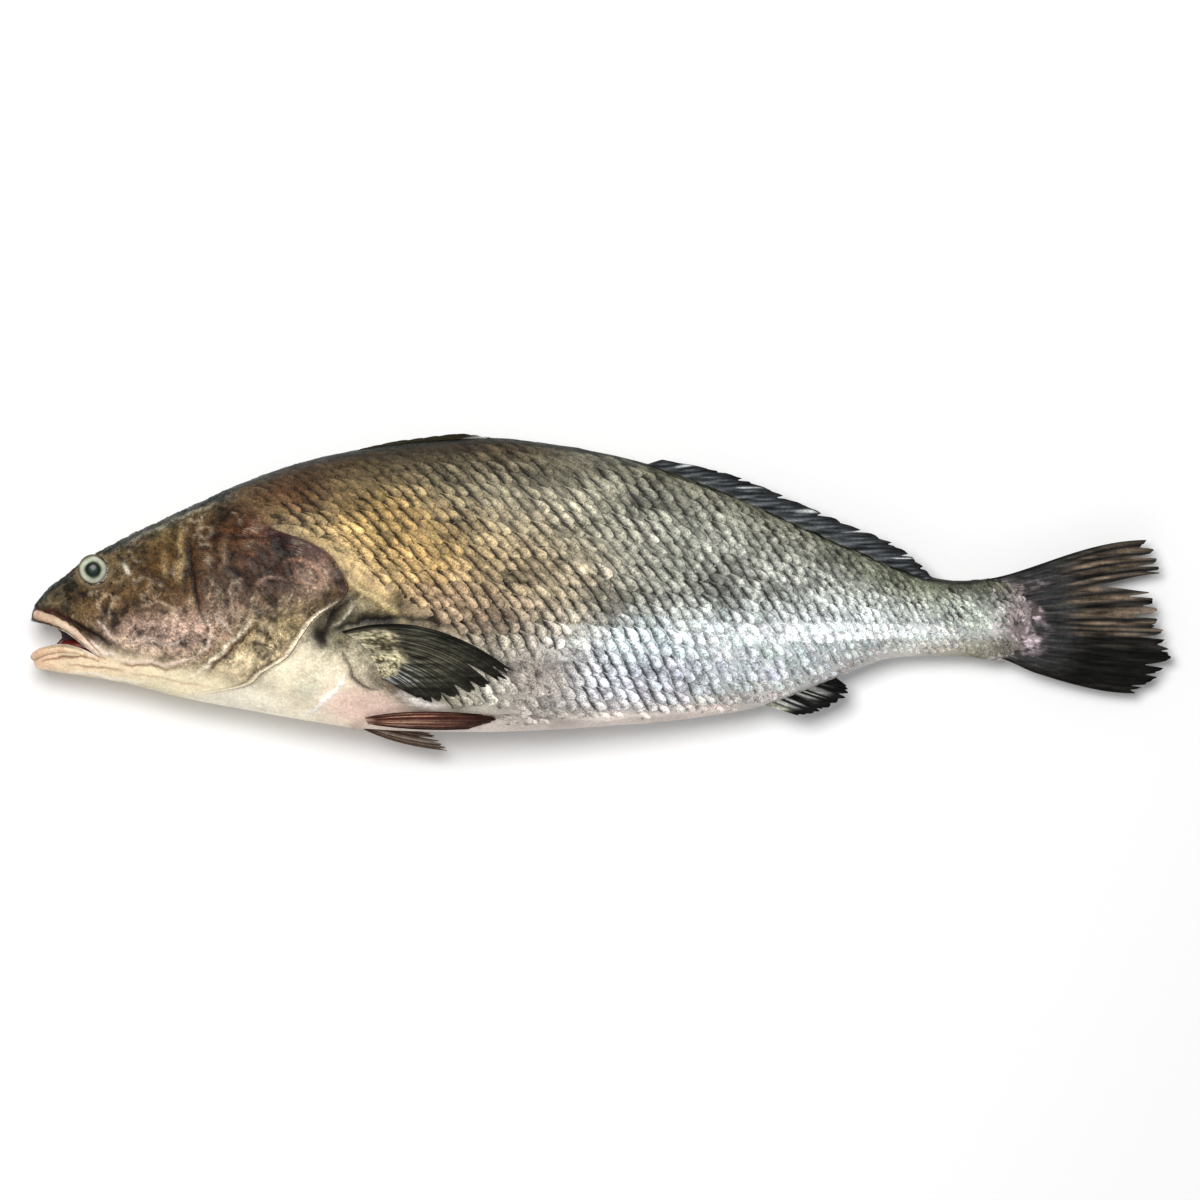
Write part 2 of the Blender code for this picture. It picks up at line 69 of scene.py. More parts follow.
HALF_WIDTH = [
    (0, 10), (12, 15.5), (22, 19.5), (40, 24.5), (61, 29), (100, 36), (140, 41), (190, 44.5),
    (250, 44.5), (310, 41.5), (370, 35.5), (430, 27.5), (490, 19), (540, 12.5), (570, 10), (595, 6.5),
    (613, 2.6),
]
BOXY_BACK = [(0, 2.8), (40, 4.2), (90, 3.0), (160, 2.2), (300, 2.0), (613, 2.0)]
BOXY_BELLY = [(0, 2.4), (60, 2.1), (160, 2.2), (300, 2.3), (420, 2.1), (613, 2.0)]
MIDDLE_HEIGHT = [
    (0, 30.5), (60, 34.5), (120, 37.5), (190, 40), (250, 40), (310, 37.6), (370, 33.4),
    (430, 28.6), (490, 24.6), (550, 21.4), (610, 18.6), (700, 13.5),
]
GILL_RIM = [
    (-60, 98), (-45.7, 105), (-41.4, 127.3), (-31.9, 142.8), (-23.4, 156.5), (-10.5, 166), (3.2, 177),
    (11.8, 190), (17.9, 194.5), (29.8, 190), (40.1, 183), (47.9, 170), (55.6, 149), (64, 136), (120, 130),
]


def curve(points, scale=MM):
    """A smooth function through the points, which are in mm unless scale says otherwise."""
    xs = np.array([p[0] for p in points], float) * MM
    ys = np.array([p[1] for p in points], float) * scale
    slopes = np.gradient(ys, xs)

    def at(x):
        x = np.clip(np.asarray(x, float), xs[0], xs[-1])
        i = np.clip(np.searchsorted(xs, x) - 1, 0, len(xs) - 2)
        span = xs[i + 1] - xs[i]
        t = (x - xs[i]) / span
        rise = (2 * t**3 - 3 * t**2 + 1) * ys[i] + (3 * t**2 - 2 * t**3) * ys[i + 1]
        bend = (t**3 - 2 * t**2 + t) * slopes[i] + (t**3 - t**2) * slopes[i + 1]
        return rise + bend * span

    return at


back_y, belly_y, widest_y, half_width, middle_z, gill_rim_x = map(
    curve, (BACK, BELLY, WIDEST, HALF_WIDTH, MIDDLE_HEIGHT, GILL_RIM)
)
boxy_back = curve(BOXY_BACK, 1)
boxy_belly = curve(BOXY_BELLY, 1)
print("deepest body", round(float(back_y(0.265) - belly_y(0.265)) * 1000), "mm")

# %% [markdown]
# Each cross section is a superellipse, rounder or boxier by one number. A point of the skin is named
# by x and an angle round the body, 0 on the back and pi on the belly. The middle plane of a limp fish
# sinks towards the table at its snout and tail, and what would go below the table is pressed flat.

# %% Points of the skin
SNOUT_ROUND_WIDTH = 0.016
SNOUT_ROUND_HEIGHT = 0.004
TAIL_ROUND_START = 0.586
TABLE_SOFTNESS = 0.0008


def smooth_step(t):
    t = np.clip(t, 0, 1)
    return t * t * (3 - 2 * t)


def round_end(distance, reach):
    share = np.clip(distance / reach, 0, 1)
    return np.sqrt(1 - (1 - share) ** 2)


def section(x):
    """The cross section at x: middle, heights above and below it, half width and both boxinesses."""
    tall = round_end(x, SNOUT_ROUND_HEIGHT) * round_end(BODY_END - x, BODY_END - TAIL_ROUND_START)
    middle = widest_y(x)
    above = (back_y(x) - middle) * tall
    below = (middle - belly_y(x)) * tall
    wide = half_width(x) * round_end(x, SNOUT_ROUND_WIDTH)
    return middle, above, below, wide, boxy_back(x), boxy_belly(x)


def skin(x, angle):
    """Height y and sideways distance of the plain body's skin."""
    middle, above, below, wide, top, low = section(x)
    up = np.cos(angle)
    boxy = np.where(up >= 0, top, low)
    y = middle + np.where(up >= 0, above, below) * np.sign(up) * np.abs(up) ** (2 / boxy)
    return y, wide * np.sign(np.sin(angle)) * np.abs(np.sin(angle)) ** (2 / boxy)


def flank_reach(x, y):
    """Sideways distance of the flank at a point of the side view."""
    middle, above, below, wide, top, low = section(x)
    up = y >= middle
    share = np.clip(np.abs(y - middle) / np.maximum(np.where(up, above, below), 1e-6), 0, 1)
    boxy = np.where(up, top, low)
    return wide * (1 - share**boxy) ** (1 / boxy)


def settle(z):
    """Heights above the table once the fish's own weight has flattened what would sink into it."""
    return 0.5 * (z + np.sqrt(z * z + 4 * TABLE_SOFTNESS**2))


def place(x, y, side):
    """Points of the side view, with their distance to the left of the middle plane, in the model's frame."""
    z = settle(middle_z(x) + side)
    return np.stack([x - TOTAL_LENGTH / 2, y + AXIS_Y, z], axis=-1)


print("skin point at mid flank", place(np.array(0.3), *skin(np.array(0.3), np.array(1.57))).round(4))

# %% [markdown]
# Equal steps of the angle crowd together on the corners of a boxy section and leave the flat
# cheek with hardly any points. A table of the skin's length round the body turns an even share of
# the way into an angle, so that the mesh and the scales are laid without stretching.

# %% Even steps round the body
SNOUT_TIP = 0.0004
LAST_RING = BODY_END - 0.0003
ARC_STATIONS = 300
ARC_STEPS = 201
FINE_STEPS = 1601
SNOUT_CROWDING = 1.6


def arc_tables():
    """At each station: the skin's length up to the back and down to the belly, and angles at even steps."""
    stations = SNOUT_TIP + (LAST_RING - SNOUT_TIP) * np.linspace(0, 1, ARC_STATIONS) ** SNOUT_CROWDING
    angle = np.linspace(0, np.pi, FINE_STEPS)
    y, side = skin(*np.meshgrid(stations, angle, indexing="ij"))
    run = np.zeros((ARC_STATIONS, FINE_STEPS))
    run[:, 1:] = np.cumsum(np.hypot(np.diff(y, axis=1), np.diff(side, axis=1)), 1)
    to_back = run[:, FINE_STEPS // 2]
    to_belly = run[:, -1] - to_back
    share = np.linspace(-1, 1, ARC_STEPS)
    table = np.empty((ARC_STATIONS, ARC_STEPS))
    for i in range(ARC_STATIONS):
        up = to_back[i] - run[i]
        table[i] = np.interp(share, (up / np.where(up > 0, to_back[i], to_belly[i]))[::-1], angle[::-1])
    return stations, to_back, to_belly, table


STATIONS, TO_BACK, TO_BELLY, ANGLES = arc_tables()


def angle_at(x, share):
    """The angle round the body at a share of the way from the widest line to back (1) or belly (-1)."""
    first, last = STATIONS[0], STATIONS[-1]
    i = ((np.clip(x, first, last) - first) / (last - first)) ** (1 / SNOUT_CROWDING)
    i = np.clip(i * (ARC_STATIONS - 1), 0, ARC_STATIONS - 1.001)
    j = np.clip((share + 1) / 2 * (ARC_STEPS - 1), 0, ARC_STEPS - 1.001)
    a, b = np.floor(i).astype(int), np.floor(j).astype(int)
    fa, fb = i - a, j - b
    low = ANGLES[a, b] * (1 - fb) + ANGLES[a, b + 1] * fb
    high = ANGLES[a + 1, b] * (1 - fb) + ANGLES[a + 1, b + 1] * fb
    return low * (1 - fa) + high * fa


print("longest way round one flank", round(float((TO_BACK + TO_BELLY).max()) * 1000), "mm")

# %% [markdown]
# Natural surfaces are never even. Value noise, smoothly mixed random numbers on a lattice, is the
# simplest texture that can move real points as well as colour them, so that a hollow and its painted
# shade fall in the same place. The table is seeded, so each run gives the same fish.

# %% Noise on points
LATTICE = 32
RANDOM_TABLE = np.random.default_rng(7).uniform(-1, 1, (LATTICE, LATTICE, LATTICE))


def noise(x, y, z, size, octaves=3, stretch=(1, 1, 1)):
    """Noise from about -1 to 1 with lumps of the given size in metres."""
    total = 0
    for k in range(octaves):
        grid = [c / (size * s) * 2**k + 11.3 * k + 5 for c, s in zip((x, y, z), stretch)]
        low = [np.floor(g).astype(int) for g in grid]
        part = [smooth_step(g - f) for g, f in zip(grid, low)]
        value = 0
        for i in (0, 1):
            for j in (0, 1):
                for n in (0, 1):
                    weight = (part[0] if i else 1 - part[0]) * (part[1] if j else 1 - part[1])
                    weight = weight * (part[2] if n else 1 - part[2])
                    spot = ((low[0] + i) % LATTICE, (low[1] + j) % LATTICE, (low[2] + n) % LATTICE)
                    value = value + weight * RANDOM_TABLE[spot]
        total = total + value * 0.55**k
    return total


print("noise sample", round(float(noise(np.array(0.1), np.array(0.02), np.array(0.03), 0.006)), 3))

# %% [markdown]
# The colours of a fresh croaker run from olive brown on the back, over gold on the shoulder, to a
# silver flank and a cream belly. They are laid on like washes of paint: each wash is a soft ellipse
# in the side view with a colour and a strength, and later washes cover earlier ones. This keeps every
# tone easy to find and change, which a painted picture would not.

# %% Washes of colour
# name, centre x and y, half length, half height, tilt in degrees, colour, strength
TRUNK_BASE = (136, 128, 104)
TRUNK_WASHES = [
    ("grey rear flank", 480, 20, 175, 120, 0, (133, 135, 126), 0.95),
    ("warm middle", 290, 22, 62, 40, -12, (130, 114, 88), 0.78),
    ("golden shoulder", 218, 48, 52, 36, -26, (138, 112, 66), 0.92),
    ("golden edge", 205, 26, 26, 16, -35, (168, 142, 98), 0.80),
    ("pinkish flank", 258, 8, 34, 14, -10, (146, 120, 98), 0.55),
    ("silver flank", 434, -25, 116, 30, 7, (188, 195, 197), 0.96),
    ("lilac lower flank", 368, -34, 46, 20, 4, (184, 185, 194), 0.75),
    ("blue patch", 372, -14, 22, 12, 0, (190, 206, 210), 0.7),
    # Painted sheen: a bright streak of reflected light along the lower flank.
    ("painted sheen streak", 482, -8, 96, 4.6, 1.5, (240, 245, 246), 0.95),
    ("olive rear back", 532, 27, 42, 13, -22, (104, 108, 90), 0.8),
    ("tail stalk", 580, 4, 24, 13, 0, (170, 176, 166), 0.85),
    ("tail stalk top", 585, 22, 40, 7, 0, (84, 86, 70), 0.85),
    ("tail stalk low", 585, -19, 40, 6, 0, (112, 106, 84), 0.7),
    ("fuzzy low flank", 308, -36, 24, 18, 0, (140, 130, 122), 0.8),
    ("tail root", 605, 0, 12, 20, 0, (118, 104, 106), 0.9),
    ("throat rear", 138, -52, 48, 10, -12, (250, 242, 220), 0.97),
    ("breast", 172, -38, 36, 22, -32, (230, 218, 190), 0.97),
    ("breast green tint", 176, -46, 12, 7, -32, (214, 222, 196), 0.6),
    ("pink under the fins", 203, -53, 26, 11, -8, (222, 190, 176), 0.9),
    ("grey fold", 219, -38, 16, 6, -36, (100, 90, 76), 0.95),
    ("nape behind the head", 146, 66, 36, 17, 24, (62, 37, 20), 0.92),
    ("golden strip", 186, 37, 36, 6.5, -36, (186, 160, 114), 0.85),
    ("shoulder fold", 211, 8, 17, 8, -24, (96, 86, 60), 0.95),
    ("shoulder lobe", 198, 8, 6, 8, 40, (136, 126, 102), 0.8),
    # Painted shade along the shoulder fold.
    ("shoulder fold shade", 208, 1, 16, 4.6, -8, (30, 25, 16), 0.9),
    # Painted shade in the hollow under the gill cover.
    ("shade in the hollow under the cover", 182, -2, 8, 11, -35, (40, 32, 22), 0.92),
    ("fleshy fin root", 190, -8, 9, 7, -35, (152, 142, 113), 0.88),
    ("spots before the fin", 178, -10, 3.6, 7, 25, (26, 19, 13), 0.92),
]
HEAD_BASE = (70, 50, 20)
HEAD_WASHES = [
    ("snout", 20, 15, 22, 12, 35, (80, 70, 48), 0.9),
    ("cheek", 76, 14, 32, 18, -5, (74, 52, 24), 0.8),
    ("cover middle", 150, 28, 40, 26, 0, (54, 38, 31), 0.9),
    ("nape", 146, 66, 46, 20, 20, (56, 32, 18), 0.92),
    ("cover top edge", 168, 45, 30, 7, -28, (56, 30, 28), 0.85),
    ("cover flap", 174, 26, 9, 10, 0, (130, 106, 90), 0.8),
    ("grey before the cover", 118, 8, 15, 16, 0, (82, 66, 54), 0.75),
    ("mauve cheek", 82, -10, 34, 13, 2, (154, 130, 116), 0.92),
    ("lower cover", 146, -14, 26, 12, 36, (140, 124, 92), 0.9),
    ("cover low edge", 124, -30, 30, 7, 22, (200, 182, 148), 0.85),
    ("throat", 92, -39, 66, 9.0, -13, (246, 232, 196), 0.98),
    ("lower jaw", 30, -28, 40, 7.5, -4, (240, 216, 180), 0.98),
    ("jaw tip", 5, -24, 12, 7, 0, (232, 196, 162), 0.85),
    ("dark before the eye", 30, 15, 9, 4.5, -15, (44, 28, 16), 0.85),
    ("behind the eye", 55, 29, 9, 8, 0, (122, 104, 76), 0.6),
]
# The dark back is laid over the ground washes, and the pale belly over those of the flank.
GROUND_WASHES = 5
FLANK_WASHES = 13
HEAD_GROUND_WASHES = 7
BACK_TONE = (40, 27, 6)
REAR_BACK_TONE = (82, 80, 66)
HEAD_TOP_TONE = (72, 64, 44)
RIDGE_TONE = (18, 22, 15)
BELLY_TONE = (206, 192, 183)
print(len(TRUNK_WASHES), "washes on the trunk and", len(HEAD_WASHES), "on the head")

# %% [markdown]
# A wash is laid by mixing its colour in where its ellipse reaches, with a soft edge. The tones of
# back, ridge and belly follow the body's own outline instead, so they are laid by the distance from
# it. Slow noise over all of them keeps any large field from looking painted in one go.

# %% Laying the washes
def linear(colour):
    """An sRGB colour from 0 to 255 as linear light, the way Blender stores it."""
    share = np.asarray(colour, float) / 255
    return np.where(share <= 0.04045, share / 12.92, ((share + 0.055) / 1.055) ** 2.4)


def blend(colours, target, mask):
    return colours + (linear(target) - colours) * np.clip(mask, 0, 1)[..., None]


def lay_washes(colours, washes, x, y):
    for _, cx, cy, long, tall, tilt, colour, strength in washes:
        turn = math.radians(tilt)
        dx, dy = x / MM - cx, y / MM - cy
        along = (dx * math.cos(turn) + dy * math.sin(turn)) / long
        across_it = (dy * math.cos(turn) - dx * math.sin(turn)) / tall
        colours = blend(colours, colour, strength / (1 + (along**2 + across_it**2) ** 2.2))
    return colours


def trunk_colour(x, y):
    """The flank's own colour at a point of the side view, without scales and folds."""
    colours = np.broadcast_to(linear(TRUNK_BASE), x.shape + (3,)).copy()
    colours = lay_washes(colours, TRUNK_WASHES[:GROUND_WASHES], x, y)
    under_back = (back_y(x) - y) / MM
    rearwards = smooth_step((x / MM - 290) / 90)
    colours = blend(colours, BACK_TONE, np.exp(-((under_back / 26) ** 2)) * (1 - rearwards) * 0.97)
    colours = blend(colours, REAR_BACK_TONE, np.exp(-((under_back / 19) ** 2)) * rearwards * 0.9)
    colours = lay_washes(colours, TRUNK_WASHES[GROUND_WASHES:FLANK_WASHES], x, y)
    colours = blend(colours, RIDGE_TONE, np.exp(-((under_back / 2.6) ** 4)) * 0.9)
    over_belly = (y - belly_y(x)) / MM
    fade = smooth_step((590 - x / MM) / 60)
    silvery = 1 - 0.62 * smooth_step((x - 0.40) / 0.08)
    colours = blend(colours, BELLY_TONE, np.exp(-((over_belly / 12) ** 2)) * 0.95 * fade * silvery)
    colours = lay_washes(colours, TRUNK_WASHES[FLANK_WASHES:], x, y)
    patches = noise(x, y, 0 * x, 0.018, 3, (1.3, 0.8, 1))
    pale = smooth_step((colours.mean(-1) - 0.30) / 0.30)
    return colours * np.clip(1 + (0.42 - 0.30 * pale) * patches, 0.4, 1.7)[..., None]


def head_colour(x, y):
    """The head's own colour at a point of the side view, without lines and folds."""
    colours = np.broadcast_to(linear(HEAD_BASE), x.shape + (3,)).copy()
    colours = lay_washes(colours, HEAD_WASHES[:HEAD_GROUND_WASHES], x, y)
    under_back = (back_y(x) - y) / MM
    colours = blend(colours, HEAD_TOP_TONE, np.exp(-((under_back / 13) ** 2)) * 0.85)
    colours = lay_washes(colours, HEAD_WASHES[HEAD_GROUND_WASHES:], x, y)
    return blend(colours, RIDGE_TONE, np.exp(-((under_back / 4.0) ** 4)) * 0.95)


print("mid flank in linear light", trunk_colour(np.array([0.3]), np.array([0.01])).round(3))

# %% [markdown]
# Creases and ridges give a fish's head its look: the crack before the gill cover, the struts of the
# cover, the folds of throat and breast. Each is a short line in the side view with a width, a rise
# (negative for a groove) and a tone. The same line moves the skin's points and tints them, because
# in a real fold the shade and the shape are one thing: the dark tone of a groove, crack, crease, slot
# or nostril is painted shade, and the pale tones of the glint behind the eye and of the ridges by the
# jaw slot are painted highlights.

# %% Lines of the head and the breast
# name, points, half width, rise, colour, strength of the colour
HEAD_LINES = [
    ("crack shade", [(101, 34), (105, 18), (109, 6)], 3.0, 0.5, (70, 42, 30), 0.7),
    ("cheek bone", [(94, 55), (92.4, 46), (93.8, 38), (91.8, 30), (92.6, 23)], 2.0, 0.9, (160, 134, 90), 0.8),
    ("front cheek bone", [(83.5, 41), (82, 34), (83.8, 26)], 1.5, 0.7, (150, 124, 84), 0.75),
    ("rear cheek bone", [(121, 51), (118, 43), (120, 36), (116, 30)], 1.3, 0.6, (140, 112, 84), 0.65),
    ("cheek corner", [(107, 3), (110.8, -4), (111.8, -10), (109, -16), (104, -21)],
     1.3, 1.1, (220, 196, 178), 0.95),
    ("strut", [(135.6, -1), (127, -10.5), (116.4, -21), (108.2, -29), (102.5, -33.7), (96, -36)],
     1.3, 1.3, (230, 216, 188), 1.0),
    ("cheek fold", [(55, -24.2), (62.3, -26), (73.4, -24.2), (82, -28.4), (92, -24.8), (102, -23)],
     1.0, 0.8, (232, 206, 190), 0.9),
    # Painted shade in the throat's groove.
    ("throat line", [(62, -33), (78, -34.6), (94, -38.5), (112, -42)], 0.8, -0.4, (190, 156, 122), 0.6),
    ("jaw underside", [(24, -32.0), (38, -32.6), (54, -35.6), (70, -38)], 0.9, 0.5, (250, 240, 222), 0.9),
    ("short strut", [(115, 3), (119, -2), (124, -7.6)], 0.9, 0.8, (196, 178, 162), 0.9),
    # A painted wet glint behind the eye.
    ("painted glint behind the eye", [(57.6, 35), (59.4, 32), (60.6, 28.6)], 1.2, 0.4, (240, 228, 208), 0.95),
    ("brow", [(50, 45), (62, 52), (76, 59), (90, 66)], 1.6, 0.6, (128, 116, 92), 0.6),
    # Pale ridges by the jaw slot, with painted highlights on them.
    ("slot edge", [(42, -0.6), (47, -5.4), (50, -10.2), (53, -12.8)], 0.9, 0.8, (222, 198, 184), 0.9),
    ("slot flap", [(38, -12.8), (42.4, -16.4), (47, -20.4)], 1.1, 1.0, (236, 214, 200), 0.95),
    ("corner flap", [(43.5, -17.6), (46.5, -21.6), (49.5, -19.4), (53, -22.5)],
     1.3, 1.4, (238, 216, 200), 0.95),
    ("flap fold", [(160, 37), (168, 36), (176, 32), (180, 26), (176, 19)], 1.5, 0.8, (178, 138, 118), 0.65),
    ("cheek stroke", [(70, 8), (80, 11), (90, 7)], 0.9, 0.4, (176, 152, 128), 0.7),
    ("low cheek stroke", [(62, -14), (72, -11), (84, -15), (94, -12)], 0.9, 0.5, (206, 186, 172), 0.75),
    ("nape light", [(58, 46), (65, 50), (83, 58), (101, 65.4), (114, 71)], 1.2, 0.5, (150, 142, 122), 0.75),
    ("cover stroke", [(140, 22), (148, 27), (158, 24)], 0.9, 0.4, (160, 132, 116), 0.7),
    ("low cover stroke", [(128, -4), (138, 0), (150, -4)], 0.9, 0.4, (176, 158, 128), 0.6),
    ("cover shade", [(128, 42), (138, 34), (150, 30), (158, 22)], 4.0, -0.4, (48, 30, 24), 0.6),
    # Painted shade in the creases of the gill cover.
    ("cover crease shade", [(112, 53), (126, 50), (142, 51), (152, 53)], 1.2, -0.7, (36, 20, 16), 0.8),
    ("cover lower crease", [(124, 12), (140, 7), (156, 3), (170, 5)], 1.0, -0.6, (56, 38, 28), 0.7),
    ("strut shade", [(138, -4), (129.6, -13), (119, -23.4), (111, -31)], 1.0, -1.0, (64, 38, 28), 0.95),
    ("cheek fold shade", [(56, -26.6), (63, -28.6), (74, -26.8), (83, -31), (94, -27)],
     0.8, -0.8, (116, 74, 58), 0.85),
    # Painted shade in the folds of the jaw.
    ("jaw fold", [(7.6, -25.4), (15, -24.6), (24, -22.6), (34, -23), (46, -23.6)],
     0.8, -1.0, (128, 80, 60), 0.9),
    ("jaw fold low", [(24, -27.6), (34, -29), (46, -30), (58, -31)], 0.7, -0.6, (150, 112, 84), 0.75),
    ("eye flap", [(54, 40), (57, 37), (58, 33)], 1.6, 0.4, (28, 20, 10), 0.85),
    # Painted shade in the pits of the nostrils.
    ("nostril", [(26.6, 26.6), (27.6, 26.2)], 1.0, -1.4, (18, 12, 8), 0.95),
    ("front nostril", [(22.6, 23.4), (23, 23.2)], 0.7, -0.8, (22, 14, 10), 0.9),
    # Painted shade in the cheek crack, the groove above the lip and the slot between the jaws.
    ("cheek crack shade", [(98, 46), (99.4, 36), (100.4, 27), (101.8, 17), (103.4, 9), (107, 1), (109.4, -5)],
     1.3, -1.6, (14, 8, 5), 1.0),
    ("lip groove shade", [(0.5, 7.6), (10, 6.6), (19, 3.2), (27, -1.6), (34, -7), (41, -13.6)],
     1.5, -1.2, (56, 18, 15), 1.0),
    ("jaw slot shade", [(18, 2.6), (27, -2.0), (35.3, -6.4), (42.6, -10.4), (48.3, -15.0), (53.5, -15.8)],
     2.5, -2.2, (22, 11, 7), 1.0),
]
TRUNK_LINES = [
    ("breast fold", [(193.2, -35.4), (188.3, -42.8), (178.5, -51.3), (168.7, -57.4)],
     1.3, 1.1, (252, 250, 244), 0.9),
    # Painted shade in the crease at the root of the breast fin.
    ("root crease shade", [(191.4, -19.8), (196.3, -28.1), (198.4, -35.8), (205, -41.3), (213, -43.6)],
     1.3, -1.3, (46, 36, 25), 1.0),
    ("shoulder edge", [(193, 25), (203, 18), (213, 13), (222, 6), (229, 0)], 1.6, 1.0, (216, 194, 142), 0.9),
    ("lobe edge", [(196, 14), (197, 8), (193, 1), (186, -5)], 1.0, 0.7, (196, 188, 166), 0.8),
    # Painted shade in the notch behind the gill cover.
    ("notch shade", [(200, 15.4), (193, 10), (186, 2.6), (181, -7), (179, -16)], 2.4, -1.8, (22, 17, 10), 1.0),
    ("fin shade", [(184, -8), (190, -4), (202, -0.6), (224, 1.6), (246, 0.4)], 2.3, -0.9, (12, 10, 7), 1.0),
    ("belly fin root", [(191, -69), (199, -66), (208, -61.5)], 1.7, 1.0, (142, 94, 78), 0.85),
    # Painted shade in the belly fold.
    ("belly fold", [(225, -55), (250, -57.6), (280, -59), (320, -58)], 1.0, -0.4, (176, 148, 138), 0.5),
    ("belly streak", [(300, -57), (350, -60), (400, -57), (430, -54)], 0.9, 0.3, (238, 226, 216), 0.6),
    ("grey fold edge", [(214, -38.4), (222, -43), (230, -49), (238, -55)], 1.0, 0.8, (92, 82, 70), 0.85),
    ("white under the fin", [(228, -44), (236, -50), (252, -54)], 2.2, 0.3, (238, 230, 226), 0.8),
]
print(len(HEAD_LINES) + len(TRUNK_LINES), "lines")

# %% [markdown]
# A line works on a point by its distance: a bell curve of the line's width, which thins out at both
# ends. The points are wandered by fine noise first, so that no stroke is as even as a pen's.

# %% Drawing the lines
def distance_to(x, y, points):
    """Distance in mm from points of the side view to a line, and how far along it they lie, 0 to 1."""
    near = np.full(x.shape, 1e9)
    along = np.zeros(x.shape)
    for k, ((ax, ay), (bx, by)) in enumerate(zip(points, points[1:])):
        px, py, dx, dy = x / MM - ax, y / MM - ay, bx - ax, by - ay
        t = np.clip((px * dx + py * dy) / (dx * dx + dy * dy), 0, 1)
        d = np.hypot(px - t * dx, py - t * dy)
        along = np.where(d < near, (k + t) / (len(points) - 1), along)
        near = np.minimum(near, d)
    return near, along


def draw_lines(lines, x, y, colours):
    """The rise that a set of lines gives the skin, in metres, and the colours that they leave."""
    rise = np.zeros(x.shape)
    wander = noise(x, y, 0 * x, 0.005, 2) * 0.9
    for _, points, width, height, colour, strength in lines:
        near, along = distance_to(x + wander * MM, y - wander * MM, points)
        shape = np.exp(-((near / width) ** 2)) * np.sin(np.pi * np.clip(along, 0.04, 0.96)) ** 0.32
        rise += shape * height * MM
        colours = blend(colours, colour, shape * strength)
    return rise, colours


cheek_gap, _ = distance_to(np.array([0.09]), np.array([0.02]), HEAD_LINES[0][1])
print("a point of the cheek lies", cheek_gap.round(1), "mm from the first line")

# %% [markdown]
# Shader nodes are wired in many small steps. Three helpers keep each step to one line: an empty group
# with named sockets, a Math node on numbers or sockets, and a noise on the object's own coordinates.

# %% Helpers for shader nodes
def new_group(name, inputs, outputs):
    """An empty node group with named sockets, and its input and output nodes."""
    group = bpy.data.node_groups.new(name, "ShaderNodeTree")
    for socket, kind, value in inputs:
        made = group.interface.new_socket(name=socket, in_out="INPUT", socket_type=kind)
        if value is not None:
            made.default_value = value
    for socket, kind in outputs:
        group.interface.new_socket(name=socket, in_out="OUTPUT", socket_type=kind)
    return group, group.nodes.new("NodeGroupInput"), group.nodes.new("NodeGroupOutput")


def math_node(tree, operation, first, second=0.0):
    """A Math node on two values, each one a number or a socket."""
    node = tree.nodes.new("ShaderNodeMath")
    node.operation = operation
    for socket, value in zip(node.inputs, (first, second)):
        if isinstance(value, (int, float)):
            socket.default_value = value
        else:
            tree.links.new(value, socket)
    return node.outputs[0]


def noise_node(tree, place_in, scale, detail, roughness=0.55, stretch=(1, 1, 1)):
    """A Noise Texture on the object's own coordinates, stretched where asked."""
    mapping = tree.nodes.new("ShaderNodeMapping")
    mapping.inputs["Scale"].default_value = stretch
    tree.links.new(place_in, mapping.inputs["Vector"])
    node = tree.nodes.new("ShaderNodeTexNoise")
    node.inputs["Detail"].default_value = detail
    node.inputs["Roughness"].default_value = roughness
    tree.links.new(mapping.outputs[0], node.inputs["Vector"])
    if isinstance(scale, (int, float)):
        node.inputs["Scale"].default_value = scale
    else:
        tree.links.new(scale, node.inputs["Scale"])
    return node.outputs["Fac"]


print("node helpers ready")

# %% [markdown]
# Wet skin, scales, fins and lips share two effects. Speckle breaks up a colour with fine dark and
# light flecks and hands out the same pattern as a height, so the flecks are also tiny bumps. Wet film
# varies the roughness between the dry and the wet parts. Both are node groups, so that each material
# places them with its own sizes and strengths.

# %% Node groups for speckle and wet film
def make_speckle():
    """Flecks at two sizes, and a crackle of thin pale lines, as a change of colour and as a height."""
    group, into, out = new_group(
        "speckle",
        [("Color", "NodeSocketColor", None), ("Scale", "NodeSocketFloat", 700.0),
         ("Amount", "NodeSocketFloat", 0.4), ("Crackle", "NodeSocketFloat", 0.3)],
        [("Color", "NodeSocketColor"), ("Height", "NodeSocketFloat")],
    )
    where = group.nodes.new("ShaderNodeTexCoord").outputs["Object"]
    fine = noise_node(group, where, into.outputs["Scale"], 4.0, 0.7)
    broad = noise_node(group, where, math_node(group, "MULTIPLY", into.outputs["Scale"], 0.25), 3.0)
    fine_part = math_node(group, "MULTIPLY", fine, 0.6)
    both = math_node(group, "ADD", fine_part, math_node(group, "MULTIPLY", broad, 0.4))
    swing = math_node(group, "MULTIPLY", math_node(group, "SUBTRACT", both, 0.5), 5.0)
    swing = math_node(group, "MULTIPLY", swing, into.outputs["Amount"])
    bend = noise_node(group, where, math_node(group, "MULTIPLY", into.outputs["Scale"], 0.4), 2.0)
    away = math_node(group, "ABSOLUTE", math_node(group, "SUBTRACT", bend, 0.5))
    line = math_node(group, "SUBTRACT", 1.0, math_node(group, "MULTIPLY", away, 22.0))
    line = math_node(group, "MAXIMUM", line, 0.0)
    pale = math_node(group, "MULTIPLY", line, into.outputs["Crackle"])
    factor = math_node(group, "ADD", math_node(group, "ADD", swing, 1.0), pale)
    factor = math_node(group, "MAXIMUM", factor, 0.12)
    scale_colour = group.nodes.new("ShaderNodeVectorMath")
    scale_colour.operation = "SCALE"
    group.links.new(into.outputs["Color"], scale_colour.inputs[0])
    group.links.new(factor, scale_colour.inputs["Scale"])
    group.links.new(scale_colour.outputs[0], out.inputs["Color"])
    grain = math_node(group, "MULTIPLY", both, into.outputs["Amount"])
    height = math_node(group, "ADD", grain, math_node(group, "MULTIPLY", pale, 0.4))
    group.links.new(height, out.inputs["Height"])
    return group


